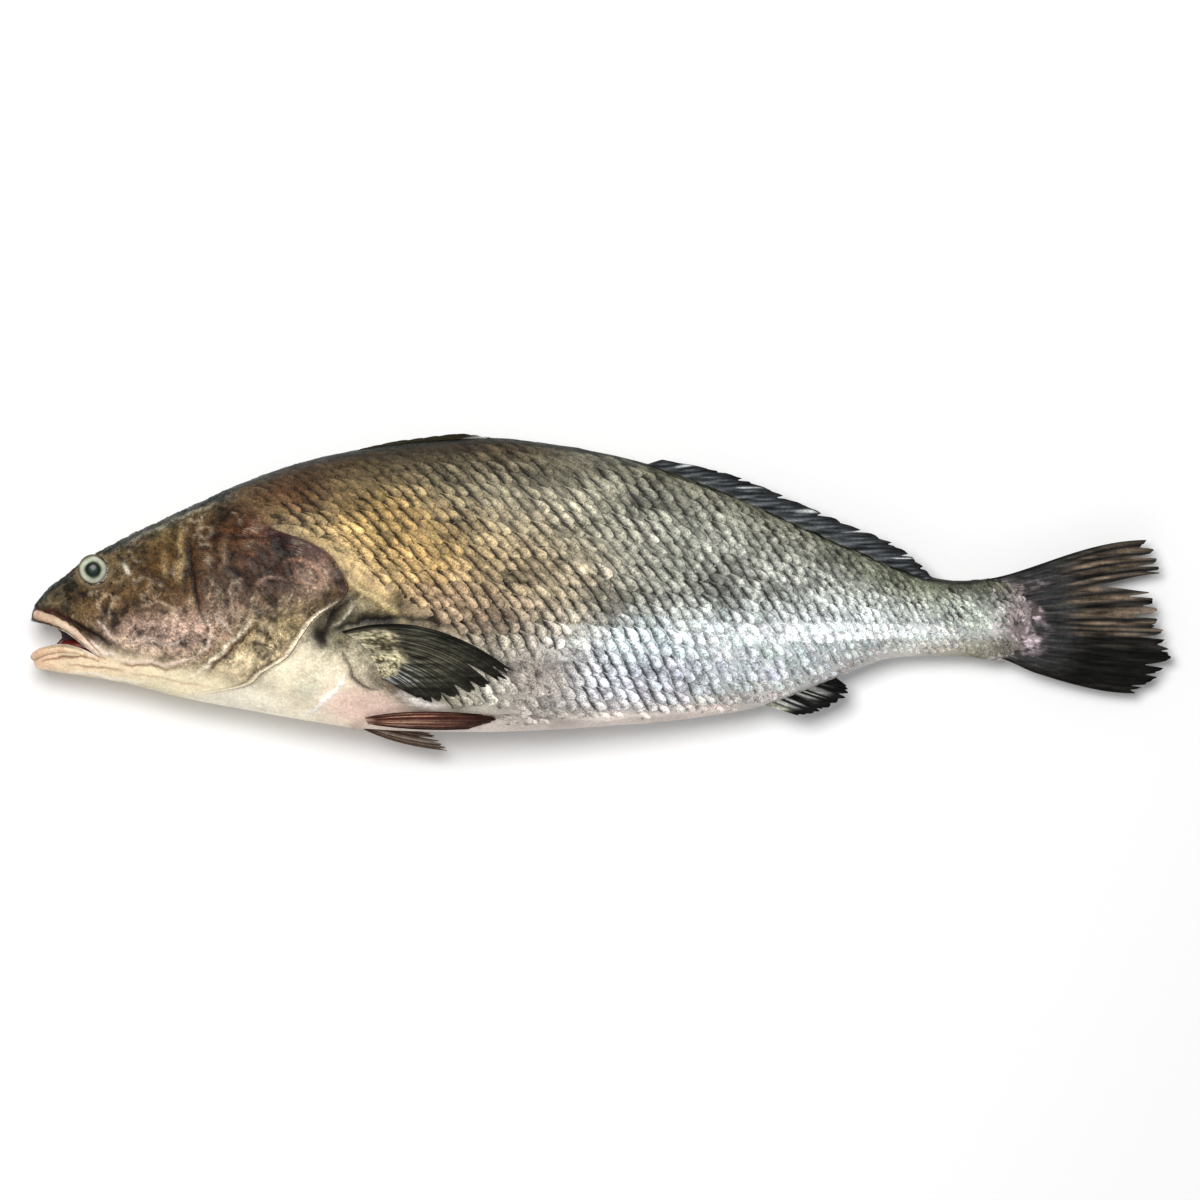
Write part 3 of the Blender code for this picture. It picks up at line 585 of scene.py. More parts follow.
def make_wet_film():
    """A roughness that swings between a wet and a dry value in patches."""
    group, into, out = new_group(
        "wet_film",
        [("Scale", "NodeSocketFloat", 60.0), ("Wet", "NodeSocketFloat", 0.2),
         ("Dry", "NodeSocketFloat", 0.5)],
        [("Roughness", "NodeSocketFloat")],
    )
    where = group.nodes.new("ShaderNodeTexCoord").outputs["Object"]
    patches = noise_node(group, where, into.outputs["Scale"], 4.0)
    spread = group.nodes.new("ShaderNodeMapRange")
    spread.inputs["From Min"].default_value = 0.35
    spread.inputs["From Max"].default_value = 0.65
    group.links.new(patches, spread.inputs["Value"])
    group.links.new(into.outputs["Wet"], spread.inputs["To Min"])
    group.links.new(into.outputs["Dry"], spread.inputs["To Max"])
    group.links.new(spread.outputs[0], out.inputs["Roughness"])
    return group


SPECKLE = make_speckle()
WET_FILM = make_wet_film()
print("groups:", SPECKLE.name, WET_FILM.name)

# %% [markdown]
# Every soft surface here reads its regional colour from a vertex attribute called tint, which the
# washes and lines have filled, and the scales read their sheen from one called silver. On the skin a
# third one, tough, keeps the speckle off the smooth throat and belly. A thin coat on top is the water.
# One function builds such a material, and the numbers tell skin from scale, fin and lip.

# %% Wet materials
def speckled(tree, shader, scale, amount, crackle, bump, mask=None):
    """Puts the tint through the speckle group into a shader's colour and normal; mask names an attribute."""
    tint = tree.nodes.new("ShaderNodeAttribute")
    tint.attribute_name = "tint"
    flecks = tree.nodes.new("ShaderNodeGroup")
    flecks.node_tree = SPECKLE
    flecks.inputs["Scale"].default_value = scale
    flecks.inputs["Amount"].default_value = amount
    flecks.inputs["Crackle"].default_value = crackle
    if mask:
        share = tree.nodes.new("ShaderNodeAttribute")
        share.attribute_name = mask
        tree.links.new(math_node(tree, "MULTIPLY", share.outputs["Fac"], amount), flecks.inputs["Amount"])
        tree.links.new(math_node(tree, "MULTIPLY", share.outputs["Fac"], crackle), flecks.inputs["Crackle"])
    tree.links.new(tint.outputs["Color"], flecks.inputs["Color"])
    tree.links.new(flecks.outputs["Color"], shader.inputs["Base Color"])
    relief = tree.nodes.new("ShaderNodeBump")
    relief.inputs["Distance"].default_value = bump
    tree.links.new(flecks.outputs["Height"], relief.inputs["Height"])
    tree.links.new(relief.outputs["Normal"], shader.inputs["Normal"])


def wet_material(name, speckle, amount, crackle, bump, wet, dry, coat, fallback, silver=0.0, specular=0.3,
                 mask=None):
    """A Principled material with tinted base, speckle, wet film and a coat of water."""
    made = bpy.data.materials.new(name)
    made.use_nodes = True
    tree = made.node_tree
    shader = tree.nodes["Principled BSDF"]
    speckled(tree, shader, speckle, amount, crackle, bump, mask)
    film = tree.nodes.new("ShaderNodeGroup")
    film.node_tree = WET_FILM
    film.inputs["Wet"].default_value = wet
    film.inputs["Dry"].default_value = dry
    tree.links.new(film.outputs["Roughness"], shader.inputs["Roughness"])
    if silver:
        sheen = tree.nodes.new("ShaderNodeAttribute")
        sheen.attribute_name = "silver"
        shine = math_node(tree, "MULTIPLY", sheen.outputs["Fac"], silver)
        tree.links.new(shine, shader.inputs["Metallic"])
    shader.inputs["Coat Weight"].default_value = coat
    shader.inputs["Coat Roughness"].default_value = 0.12
    shader.inputs["Specular IOR Level"].default_value = specular
    made.diffuse_color = (*linear(fallback), 1)
    return made


SKIN = wet_material(
    "fish_skin", speckle=620.0, amount=1.0, crackle=1.1, bump=0.0008, wet=0.34, dry=0.60, coat=0.05,
    fallback=(120, 100, 78), specular=0.13, mask="tough",
)
SCALE = wet_material(
    "fish_scale", speckle=950.0, amount=0.95, crackle=0.7, bump=0.0005, wet=0.32, dry=0.55, coat=0.03,
    fallback=(170, 165, 150), silver=0.22, specular=0.11,
)
FIN = wet_material(
    "fin_web", speckle=1100.0, amount=0.60, crackle=0.2, bump=0.0003, wet=0.36, dry=0.60, coat=0.0,
    fallback=(60, 58, 52), specular=0.07,
)
LIP = wet_material(
    "lip_flesh", speckle=650.0, amount=0.30, crackle=0.2, bump=0.0010, wet=0.26, dry=0.45, coat=0.12,
    fallback=(222, 184, 164), specular=0.22,
)
print([m.name for m in (SKIN, SCALE, FIN, LIP)])

# %% [markdown]
# The inside of the mouth, the tongue and the teeth are not tinted point by point. Each mixes two
# tones by blotches: the flesh is a deep red, and the skin between the jaws is the same red, duller and
# darkened as painted shade of the mouth's hollow. The eye's rings are drawn by distance from its own
# axis further down.

# %% Flesh and tooth materials
def plain_wet(name, colour, dark, scale, roughness, coat):
    """A Principled material that mixes two tones by noise under a coat of water."""
    made = bpy.data.materials.new(name)
    made.use_nodes = True
    tree = made.node_tree
    shader = tree.nodes["Principled BSDF"]
    where = tree.nodes.new("ShaderNodeTexCoord").outputs["Object"]
    blotches = noise_node(tree, where, scale, 4.0)
    ramp = tree.nodes.new("ShaderNodeValToRGB")
    ramp.color_ramp.elements[0].position = 0.35
    ramp.color_ramp.elements[0].color = (*linear(dark), 1)
    ramp.color_ramp.elements[1].position = 0.65
    ramp.color_ramp.elements[1].color = (*linear(colour), 1)
    tree.links.new(blotches, ramp.inputs["Fac"])
    tree.links.new(ramp.outputs["Color"], shader.inputs["Base Color"])
    shader.inputs["Roughness"].default_value = roughness
    shader.inputs["Coat Weight"].default_value = coat
    made.diffuse_color = (*linear(colour), 1)
    return made


FLESH = plain_wet("mouth_flesh", (150, 52, 44), (74, 18, 16), 160.0, 0.35, 0.5)
# Darker than the flesh, as painted shade of the mouth's hollow.
SHADED_MOUTH_SKIN = plain_wet("shaded_mouth_skin", (72, 25, 22), (36, 11, 10), 160.0, 0.6, 0.05)
SOCKET = plain_wet("eye_socket", (70, 56, 40), (28, 22, 16), 300.0, 0.4, 0.4)
TOOTH = plain_wet("tooth", (240, 232, 214), (214, 200, 174), 400.0, 0.3, 0.4)
print([m.name for m in (FLESH, SHADED_MOUTH_SKIN, SOCKET, TOOTH)])

# %% [markdown]
# Meshes are made straight from arrays of points. Smooth shading and the tint and silver attributes
# are set in one helper, and another gives the faces of a grid of points.

# %% Mesh helpers
def slab_faces(rows, columns):
    """Faces of two facing sheets of points and of the wall round their edge."""
    sheet = grid_faces(rows, columns)
    count = rows * columns
    edge = [k * columns for k in range(rows)]
    edge += [(rows - 1) * columns + r for r in range(1, columns)]
    edge += [k * columns + columns - 1 for k in range(rows - 2, -1, -1)]
    edge += [r for r in range(columns - 2, 0, -1)]
    edge = np.array(edge)
    after = np.roll(edge, -1)
    wall = np.stack([edge, after, after + count, edge + count], -1)
    return np.concatenate([sheet, sheet[:, ::-1] + count, wall])


def grid_faces(rows, columns, closed=False):
    """Quads of a grid of points, row after row; closed joins the last column to the first."""
    count = columns if closed else columns - 1
    i, j = np.meshgrid(np.arange(rows - 1), np.arange(count), indexing="ij")
    k = (j + 1) % columns
    corners = [i * columns + j, i * columns + k, (i + 1) * columns + k, (i + 1) * columns + j]
    return np.stack(corners, -1).reshape(-1, 4)


def make_piece(name, points, faces, material, tint=None, silver=None, caps=()):
    """A smooth mesh object in the scene, with its attributes."""
    mesh = bpy.data.meshes.new(name)
    mesh.from_pydata(points.reshape(-1, 3).tolist(), [], faces.tolist() + [list(c) for c in caps])
    mesh.materials.append(material)
    if tint is not None:
        layer = mesh.color_attributes.new("tint", "FLOAT_COLOR", "POINT")
        flat = tint.reshape(-1, 3)
        layer.data.foreach_set("color", np.concatenate([flat, np.ones((len(flat), 1))], 1).ravel())
    if silver is not None:
        mesh.attributes.new("silver", "FLOAT", "POINT").data.foreach_set("value", silver.ravel())
    mesh.validate()
    mesh.shade_smooth()
    made = bpy.data.objects.new(name, mesh)
    bpy.context.scene.collection.objects.link(made)
    return made


def turn_outwards(piece):
    bm = bmesh.new()
    bm.from_mesh(piece.data)
    bmesh.ops.recalc_face_normals(bm, faces=bm.faces)
    bm.to_mesh(piece.data)
    bm.free()


def unit(v):
    return v / np.maximum(np.linalg.norm(v, axis=-1, keepdims=True), 1e-12)


def dress(piece, node="fish"):
    """Hangs the piece on the root body, hides the solid that it stands for and prints its size."""
    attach(piece, "root")
    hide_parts(node)
    co = np.empty(len(piece.data.vertices) * 3)
    piece.data.vertices.foreach_get("co", co)
    triangles = sum(len(p.vertices) - 2 for p in piece.data.polygons)
    print(piece.name, triangles, "triangles, top at", round(float(co[2::3].max()) * 1000, 2), "mm")


print("helpers ready")

# %% [markdown]
# The gill cover is a stiff flap that lies on the shoulder. Its rim is found for every angle round the
# body, and the skin's rings follow it, so the rim is a clean edge of the mesh and not a staircase. At
# the rim the sheet folds under itself and comes out again as the flank, one skin with a real gap.

# %% Rim of the gill cover
FLAP_RISE = 0.0008
FLAP_SINK = 0.0010
FLAP_FRONT = 0.060
FLAP_BEHIND = 0.028
FLAP_TOP_Y = 0.060
FLAP_LOW_Y = -0.047
FLAP_FADE = 0.008
# How the sheet turns under the rim, in mm: along the body, and out from the plain skin.
RIM_FOLD = [(0.45, 0.8), (0.55, 0.2), (0.1, -0.3), (-1.2, -0.6), (-3.2, -0.7), (-3.4, -1.1), (-1.4, -1.15)]


def skin_at(x, share, flank):
    """Height and sideways distance at a share of the way round the left (1) or right (-1) flank."""
    y, side = skin(x, angle_at(x, share))
    return y, side * flank


def rim_at(share):
    """Where along the body the gill cover ends, for each share of the way round."""
    low = np.full_like(share, 0.08)
    high = np.full_like(share, 0.21)
    for _ in range(30):
        x = (low + high) / 2
        ahead = x < gill_rim_x(skin_at(x, share, 1)[0])
        low = np.where(ahead, x, low)
        high = np.where(ahead, high, x)
    return (low + high) / 2


def flap_share(y):
    """1 where the gill cover is a free flap, fading to 0 over the nape and under the throat."""
    return smooth_step((FLAP_TOP_Y - y) / FLAP_FADE) * smooth_step((y - FLAP_LOW_Y) / FLAP_FADE)


print("rim at the widest line", round(float(rim_at(np.array([0.0]))[0]) * 1000, 1), "mm")

# %% [markdown]
# The skin is one fine sheet of about 95,000 quads from the snout to the tail, laid in rings. The head
# takes more than half of the rings, because its marks are drawn on the sheet itself, while most of
# the trunk lies under the scales. Behind the gills the sheet sinks a little to seat the scales.

# %% Rings of the skin
HEAD_ROWS = 186
TRUNK_ROWS = 124
# Rows of the trunk: close together behind the gills and at the tail root, wide apart under the scales.
ROW_SHARES = [0, 0.40, 0.80, 1]
TRUNK_SHARES = [0, 0.14, 0.92, 1]
HALF_AROUND = 150
EYE_X = 0.0394
EYE_Y = 0.0306
SCALE_SEAT = 0.0012
SEAT_FRONT = 0.02
SEAT_END = 0.58
SEAT_FADE = 0.05


def sunk(x, rim, flap):
    """How far the flank lies under the plain skin: behind the gill cover, and where scales are seated."""
    seat = SCALE_SEAT * smooth_step((x - rim) / SEAT_FRONT) * smooth_step((SEAT_END - x) / SEAT_FADE)
    return (smooth_step((x - rim) / FLAP_BEHIND) - 1) * FLAP_SINK * flap - seat


def keep_apart(rise, side):
    """A sink of at most half the way to the middle plane, so that the two flanks never cross."""
    return np.maximum(rise, -0.5 * np.abs(side))


def skin_rings():
    """x, share, flank, rise over the plain skin and the rim for each point of the sheet, ring after ring."""
    half = 1 - (np.arange(HALF_AROUND) + 0.5) * 2 / HALF_AROUND
    share = np.concatenate([half, half[::-1]])
    flank = np.repeat([1.0, -1.0], HALF_AROUND)
    rim = rim_at(share)
    flap = flap_share(skin_at(rim, share, 1)[0])
    xs, rises = [], []
    for i in range(HEAD_ROWS + 1):
        x = SNOUT_TIP + (rim - SNOUT_TIP) * (i / HEAD_ROWS) ** 1.15
        xs.append(x)
        rises.append(smooth_step((x - rim + FLAP_FRONT) / FLAP_FRONT) * FLAP_RISE * flap)
    for k, (along, out) in enumerate(RIM_FOLD):
        xs.append(rim + flap * along * MM + (1 - flap) * (k + 1) * 0.15 * MM)
        rises.append(flap * out * MM)
    for i in range(1, TRUNK_ROWS + 1):
        start = rim + 0.0012
        x = start + (LAST_RING - start) * np.interp(i / TRUNK_ROWS, ROW_SHARES, TRUNK_SHARES)
        xs.append(x)
        rises.append(sunk(x, rim, flap))
    shape = (len(xs), 2 * HALF_AROUND)
    return np.array(xs), np.broadcast_to(share, shape), np.broadcast_to(flank, shape), np.array(rises), rim


def surface_normals(points):
    """Outward normals of a grid of rings, found from its neighbours."""
    along = np.gradient(points, axis=0)
    around = np.roll(points, -1, 1) - np.roll(points, 1, 1)
    normals = unit(np.cross(around, along))
    centre = points.mean(axis=1, keepdims=True)
    outward = np.sign(np.sum(normals * (points - centre), -1, keepdims=True))
    return normals * np.where(outward == 0, 1, outward)


print("rings of the skin", HEAD_ROWS + 1 + len(RIM_FOLD) + TRUNK_ROWS)

# %% [markdown]
# The relief has three sizes: the drawn lines, lumps of a few millimetres that differ between head and
# belly, and the speckle in the material. Wrinkles come from noise where it passes through zero, which
# gives thin wandering ridges. Every lump also darkens or lightens its own spot, as the skin's own mottle
# and as painted shade in its hollows and painted light on its bumps.

# %% Relief and colour of the skin
STROKE_TONE = (210, 190, 162)
LILAC_FLECKS = (226, 208, 214)
RIM_PALE = (236, 222, 192)
RIM_DARK = (56, 30, 27)
RIM_LINE = (84, 62, 46)
GAP_LOW_SHADE = (52, 22, 18)
GAP_HIGH_SHADE = (52, 36, 24)


def ridged(value, sharp):
    """Thin ridges where a noise passes through zero."""
    return np.clip(1 - np.abs(value) * sharp, 0, 1) ** 1.5


def skin_relief(x, y, side, rim):
    """The relief of the sheet in metres, its colours, and how rough it is."""
    joined = 1 - flap_share(y)
    head = smooth_step(0.5 + (rim - x) / (2 * (0.0003 + 0.012 * joined)))
    trunk = trunk_colour(x, y)
    colours = trunk + (head_colour(x, y) - trunk) * head[..., None]
    pale = smooth_step((colours.mean(-1) - 0.26) / 0.30)
    tough = smooth_step((y - belly_y(x) - 0.010) / 0.022) * (0.60 + 0.40 * head) * (1 - 0.85 * pale)
    blotches = noise(x, y, side, 0.012, 3)
    pores = noise(x, y, side, 0.0026, 2)
    wrinkles = ridged(noise(x, y, side, 0.0085, 3, (0.9, 1.2, 1)), 3.2)
    relief = (blotches * 0.00036 + pores * 0.00024 + wrinkles * 0.00055) * (0.15 + 0.85 * tough)
    # Mottle that is also painted shade in the hollows and painted light on the bumps.
    shade = 1 + (blotches * 0.90 + pores * 0.66) * (0.08 + 0.92 * tough) + wrinkles * 0.50 * tough * head
    colours = colours * np.clip(shade, 0.22, 2.2)[..., None]
    strokes = ridged(noise(x, y, side, 0.0072, 2, (0.6, 1.4, 1)), 3.6)
    strokes = strokes * smooth_step((noise(x, y, side, 0.015, 2) - 0.02) / 0.28)
    colours = blend(colours, STROKE_TONE, strokes * 0.34 * tough * head)
    flecks = ridged(noise(x, y, side, 0.0042, 2, (0.8, 1.3, 1)), 2.6)
    colours = blend(colours, LILAC_FLECKS, flecks * smooth_step((x - 0.580) / 0.012) * 0.75)
    trunk_rise, trunk_tints = draw_lines(TRUNK_LINES, x, y, colours)
    head_rise, head_tints = draw_lines(HEAD_LINES, x, y, colours)
    relief = relief + trunk_rise + (head_rise - trunk_rise) * head
    colours = trunk_tints + (head_tints - trunk_tints) * head[..., None]
    under_back = (back_y(x) - y) / MM
    ridge = np.exp(-((under_back / 3.3) ** 4)) * (1 - 0.35 * smooth_step((x - 0.26) / 0.1))
    return relief, blend(colours, RIDGE_TONE, ridge * 0.9), tough


def tint_the_rim(x, y, rim, colours):
    """The pale lower rim of the cover, and painted shade, dark red low down, in the gap behind it."""
    flap = flap_share(y)
    behind = (x - rim) / MM
    low = smooth_step((0.016 - y) / 0.012)
    edge = np.exp(-(((behind + 0.8) / 1.8) ** 2)) * flap * (x <= rim + 0.0008)
    colours = blend(colours, RIM_PALE, edge * low * 0.95)
    colours = blend(colours, RIM_DARK, edge * (1 - low) * 0.75)
    line = np.exp(-(((behind + 4.0) / 1.1) ** 2)) * flap * low
    colours = blend(colours, RIM_LINE, line * 0.55)
    # Painted shade in the gap behind the rim, under the flap.
    gap = np.exp(-((np.maximum(behind - 0.5, 0) / 1.8) ** 2)) * (x > rim + 0.0002) * flap
    colours = blend(colours, GAP_LOW_SHADE, gap * 0.95 * low)
    return blend(colours, GAP_HIGH_SHADE, gap * 0.85 * (1 - low))


print("a ridge fades from 1 to", ridged(np.array(0.2), 3.2).round(2), "where the noise is 0.2")

# %% [markdown]
# The sheet is now put together. The relief moves points along the skin's own normal, and the rise of
# the gill cover moves them straight out to the side, so that the flap keeps its even thickness.

# %% The skin from snout to tail
def build_skin():
    """The skin as one closed mesh, with its tint, silver and tough attributes."""
    x, share, flank, rise, rim = skin_rings()
    y, side = skin_at(x, share, flank)
    rise = keep_apart(rise, side)
    plain = np.stack([x, y, side], -1)
    normals = surface_normals(plain)
    relief, colours, tough = skin_relief(x, y, side, rim)
    colours = tint_the_rim(x, y, rim, colours)
    fade = smooth_step((BODY_END - x) / 0.004) * smooth_step(x / 0.003)
    moved = plain + normals * (relief * fade)[..., None]
    moved[..., 2] += flank * rise
    points = place(moved[..., 0], moved[..., 1], moved[..., 2])
    rows, columns = x.shape
    caps = (tuple(range(columns)), tuple((rows - 1) * columns + j for j in range(columns)))
    silver = smooth_step((0.010 - np.abs(y + 0.02)) / 0.03 + 0.4) * smooth_step((x - 0.3) / 0.1) * 0.6
    piece = make_piece("skin", points, grid_faces(rows, columns, True), SKIN, colours, silver, caps)
    layer = piece.data.attributes.new("tough", "FLOAT", "POINT")
    layer.data.foreach_set("value", (0.20 + 0.80 * tough).ravel())
    turn_outwards(piece)
    return piece


skin_piece = build_skin()
print("skin points", len(skin_piece.data.vertices))

# %% [markdown]
# The mouth stands open, and the eyes sit in sockets. The cutters for both are simple closed bodies: a
# wedge with the outline of the gap between the jaws, a ball for the throat and a ball for each eye.

# %% Cutters of the mouth and the eye sockets
MOUTH_OPENING = [
    (-14, 4), (1.8, -1), (12.6, -3.4), (23.2, -8), (30.7, -13.6), (42, -22.4),
    (31.2, -17), (23.2, -14.8), (15.7, -14.8), (6.4, -17), (0.7, -20.4), (-14, -26),
]
THROAT_CENTRE = (0.044, -0.013)
THROAT_HALF = (0.030, 0.0072, 0.012)
EYE_RADIUS = 0.0096
EYE_FLATNESS = 0.78
EYE_BULGE = 0.0026
EYE_HALF = (EYE_RADIUS, EYE_RADIUS, EYE_RADIUS * EYE_FLATNESS)
SOCKET_OPENS = 2.4
CUTTER_REACH = 0.04
HEAD_MIDDLE = float(middle_z(0.04))
SIDES = (("left", 1), ("right", -1))


def ball(name, centre, half, material, segments, outwards=(0, 1)):
    """A ball stretched to three half sizes, and more so towards one side, +1 or -1."""
    bm = bmesh.new()
    bmesh.ops.create_uvsphere(bm, u_segments=segments, v_segments=segments // 2, radius=1)
    mesh = bpy.data.meshes.new(name)
    bm.to_mesh(mesh)
    bm.free()
    co = np.empty(len(mesh.vertices) * 3)
    mesh.vertices.foreach_get("co", co)
    co = co.reshape(-1, 3)
    co[:, 2] *= np.where(co[:, 2] * outwards[0] > 0, outwards[1], 1)
    spot = co * np.array(half) + np.array(centre)
    spot[:, 0] -= TOTAL_LENGTH / 2
    spot[:, 1] += AXIS_Y
    mesh.vertices.foreach_set("co", spot.ravel())
    mesh.materials.append(material)
    mesh.shade_smooth()
    made = bpy.data.objects.new(name, mesh)
    bpy.context.scene.collection.objects.link(made)
    return made


def eye_centre(side):
    reach = float(flank_reach(np.array(EYE_X), np.array(EYE_Y))) - EYE_RADIUS * EYE_FLATNESS + EYE_BULGE
    return EYE_X, EYE_Y, float(middle_z(EYE_X)) + side * reach


def mouth_cutter():
    """The wedge between the jaws, right through the snout."""
    height = float(middle_z(0.02))
    outline = np.array(MOUTH_OPENING) * MM + (-TOTAL_LENGTH / 2, AXIS_Y)
    low = np.column_stack([outline, np.full(len(outline), height - CUTTER_REACH)])
    high = np.column_stack([outline, np.full(len(outline), height + CUTTER_REACH)])
    n = len(outline)
    sides = np.array([(i, (i + 1) % n, n + (i + 1) % n, n + i) for i in range(n)])
    caps = (range(n), range(n, 2 * n))
    piece = make_piece("mouth_cutter", np.concatenate([low, high]), sides, FLESH, caps=caps)
    turn_outwards(piece)
    return piece


print("eye centre in mm", [round(c * 1000, 1) for c in eye_centre(1)])

# %% [markdown]
# One Boolean takes all the cutters out of the skin. They bring their own materials along, so the cut
# faces become the red inside of the mouth and the dark wall of each socket. The Exact solver is used
# because the cutters cross the sheet at shallow angles.

# %% Cutting the mouth and the eye sockets
def cut_out(target, cutters):
    """Takes the cutters out of the target in one Boolean and removes them."""
    group = bpy.data.collections.new("cutters")
    bpy.context.scene.collection.children.link(group)
    for cutter in cutters:
        bpy.context.scene.collection.objects.unlink(cutter)
        group.objects.link(cutter)
    modifier = target.modifiers.new("cut", "BOOLEAN")
    modifier.operation = "DIFFERENCE"
    modifier.operand_type = "COLLECTION"
    modifier.collection = group
    modifier.solver = "EXACT"
    modifier.material_mode = "TRANSFER"
    bpy.context.view_layer.objects.active = target
    bpy.ops.object.modifier_apply(modifier=modifier.name)
    for cutter in cutters:
        bpy.data.objects.remove(cutter)
    bpy.data.collections.remove(group)


cutters = [mouth_cutter(), ball("throat", (*THROAT_CENTRE, HEAD_MIDDLE), THROAT_HALF, FLESH, 32)]
for side_name, side in SIDES:
    cutters.append(ball(f"socket_{side_name}", eye_centre(side), EYE_HALF, SOCKET, 48, (side, SOCKET_OPENS)))
cut_out(skin_piece, cutters)
dress(skin_piece)

# %% [markdown]
# Scales lie like roof tiles, each one over the next towards the tail, in columns that lean
# with the body. The columns lean more on the back than on the belly, and the scales get smaller
# towards the tail. No scales grow under the breast fin, by the belly fins and on the breast.

# %% Size and lean of the scales
PITCH_ALONG = 0.0082
PITCH_ROUND = 0.0077
TAIL_SHRINK = 0.54
# Lean of the columns: how far they step to the rear for each step down, high and low on the flank.
LEAN_HIGH = 0.85
LEAN_LOW = 0.42
# Outlines in the side view of the places without scales.
BARE_PLACES = [
    [(184, -2), (198, 4), (225, 6), (246, 2), (262, -10), (272, -30), (262, -45), (236, -54), (196, -40)],
    [(192, -70), (203, -52), (250, -49), (292, -56), (285, -67), (250, -76), (200, -74)],
    [(110, -90), (110, -30), (166, 0), (188, 24), (206, 26), (232, 8), (206, -2), (200, -40),
     (236, -54), (196, -80)],
]
rng = np.random.default_rng(11)


def scale_size(x):
    """How large the scales are along the body: full on the flank, smaller near the tail."""
    return 1 - (1 - TAIL_SHRINK) * smooth_step((x - 0.38) / 0.19)


def lean_of(w, x):
    """Slope of the columns at w metres up from the widest line."""
    high = smooth_step((w + 0.034) / 0.050)
    return LEAN_LOW + (LEAN_HIGH - LEAN_LOW) * high * (1 - 0.60 * smooth_step((x - 0.30) / 0.15))


def leaned(w, x):
    """How far a column has stepped to the rear at each of its heights."""
    steps = np.linspace(-0.16, 0.16, 321)
    run = np.concatenate([[0], np.cumsum(lean_of(steps[1:], x) * np.diff(steps))])
    return np.interp(0, steps, run) - np.interp(w, steps, run)


def inside(x, y, outline):
    """True for points of the side view that lie in a closed outline given in mm."""
    found = np.zeros(x.shape, bool)
    for (ax, ay), (bx, by) in zip(outline, outline[1:] + outline[:1]):
        crosses = (ay * MM > y) != (by * MM > y)
        where = ax * MM + (y - ay * MM) * (bx - ax) / ((by - ay) if by != ay else 1e-9)
        found ^= crosses & (x < where)
    return found


print("scales at the tail root are", round(float(scale_size(np.array(0.57))), 2), "of their full size")

# %% [markdown]
# To lay the scales without stretching, the flank is unrolled: a table turns a distance round the body,
# counted from the widest line, into an angle. The columns are laid on this flat map, swayed a little by
# slow noise and jittered, and the scales that would fall on a bare place or off the body are left out.

# %% Where the scales sit
def angle_share(x, w):
    """The share of the way round that a point w metres up from the widest line has, at x."""
    reach = np.where(w > 0, np.interp(x, STATIONS, TO_BACK), np.interp(x, STATIONS, TO_BELLY))
    return np.clip(w / reach, -0.995, 0.995)


def flank_angle(x, w):
    """The angle round the body of a point w metres up from the widest line, at x."""
    return angle_at(x, angle_share(x, w))


def scale_places():
    """Centres of the scales as x, distance round the flank, and height in the side view."""
    columns = [0.080]
    while columns[-1] < BODY_END + 0.09:
        columns.append(columns[-1] + PITCH_ALONG * float(scale_size(np.array(columns[-1]))))
    xs, ws = [], []
    for column in columns:
        w = np.arange(-26, 27) * PITCH_ROUND * float(scale_size(np.array(column)))
        xs.append(column + leaned(w, column))
        ws.append(w)
    x, w = np.concatenate(xs), np.concatenate(ws)
    sway = noise(x, w, 0 * x, 0.017, 2)
    drift = noise(x, w, 0 * x + 0.5, 0.017, 2)
    x = x + 0.0017 * sway + rng.normal(0, 0.00070, len(x))
    w = w + 0.0013 * drift + rng.normal(0, 0.00055, len(x))
    on_body = (x > 0.125) & (x < BODY_END - 0.007)
    on_body &= (w < np.interp(x, STATIONS, TO_BACK) * 0.985) & (w > -np.interp(x, STATIONS, TO_BELLY) * 0.97)
    x, w = x[on_body], w[on_body]
    y = skin(x, flank_angle(x, w))[0]
    rim = rim_at(angle_share(x, w))
    keep = (x > rim + 0.004) & (y > belly_y(x) + 0.0055 - 0.0035 * smooth_step((x - 0.36) / 0.06))
    for outline in BARE_PLACES:
        keep &= ~inside(x, y, outline)
    return x[keep], w[keep], y[keep], rim[keep]


SCALE_X, SCALE_W, SCALE_Y, SCALE_RIM = scale_places()
print(len(SCALE_X), "scales on each flank")

# %% [markdown]
# Scales flatten towards the nape and the belly, behind the gills and along the shiny lower flank, where
# the photo shows them sunk in the skin or washed out by light. One number for each scale, its
# boldness, says how far it stands out, and drives both its height and the strength of its painted
# light and shade.

# %% How clearly each scale stands out
def scale_boldness():
    """Boldness of every scale: full on the flank, faint on the nape, by the gills and on the belly."""
    under_back = back_y(SCALE_X) - SCALE_Y
    narrower = 0.018 * smooth_step((SCALE_X - 0.20) / 0.10)
    soft_edge = 0.034 - narrower - 0.010 * smooth_step((SCALE_X - 0.34) / 0.06)
    bold = 0.16 + 0.84 * smooth_step((under_back - 0.002) / soft_edge)
    bold *= 0.35 + 0.65 * smooth_step((SCALE_Y - belly_y(SCALE_X) - 0.003) / 0.012)
    bold *= 1 - 0.55 * smooth_step((SCALE_X - 0.555) / 0.03)
    silvery = smooth_step((SCALE_X - 0.37) / 0.07) * smooth_step((0.006 - SCALE_Y) / 0.016)
    bold *= 1 - 0.42 * silvery
    bold *= 1 - 0.75 * np.exp(-(((SCALE_Y + 0.008) / 0.006) ** 2)) * smooth_step((SCALE_X - 0.40) / 0.05)
    bold *= 1 - 0.72 * np.exp(-(((SCALE_X - 0.306) / 0.026) ** 4) - ((SCALE_Y + 0.038) / 0.019) ** 4)
    worn = noise(SCALE_X, SCALE_Y, 0 * SCALE_X, 0.024, 2, (1, 0.8, 1))
    bold *= 1 - 0.55 * smooth_step((worn - 0.25) / 0.5)
    return bold * (0.15 + 0.85 * smooth_step((SCALE_X - SCALE_RIM - 0.004) / 0.020))


print("mean boldness", round(float(scale_boldness().mean()), 2))
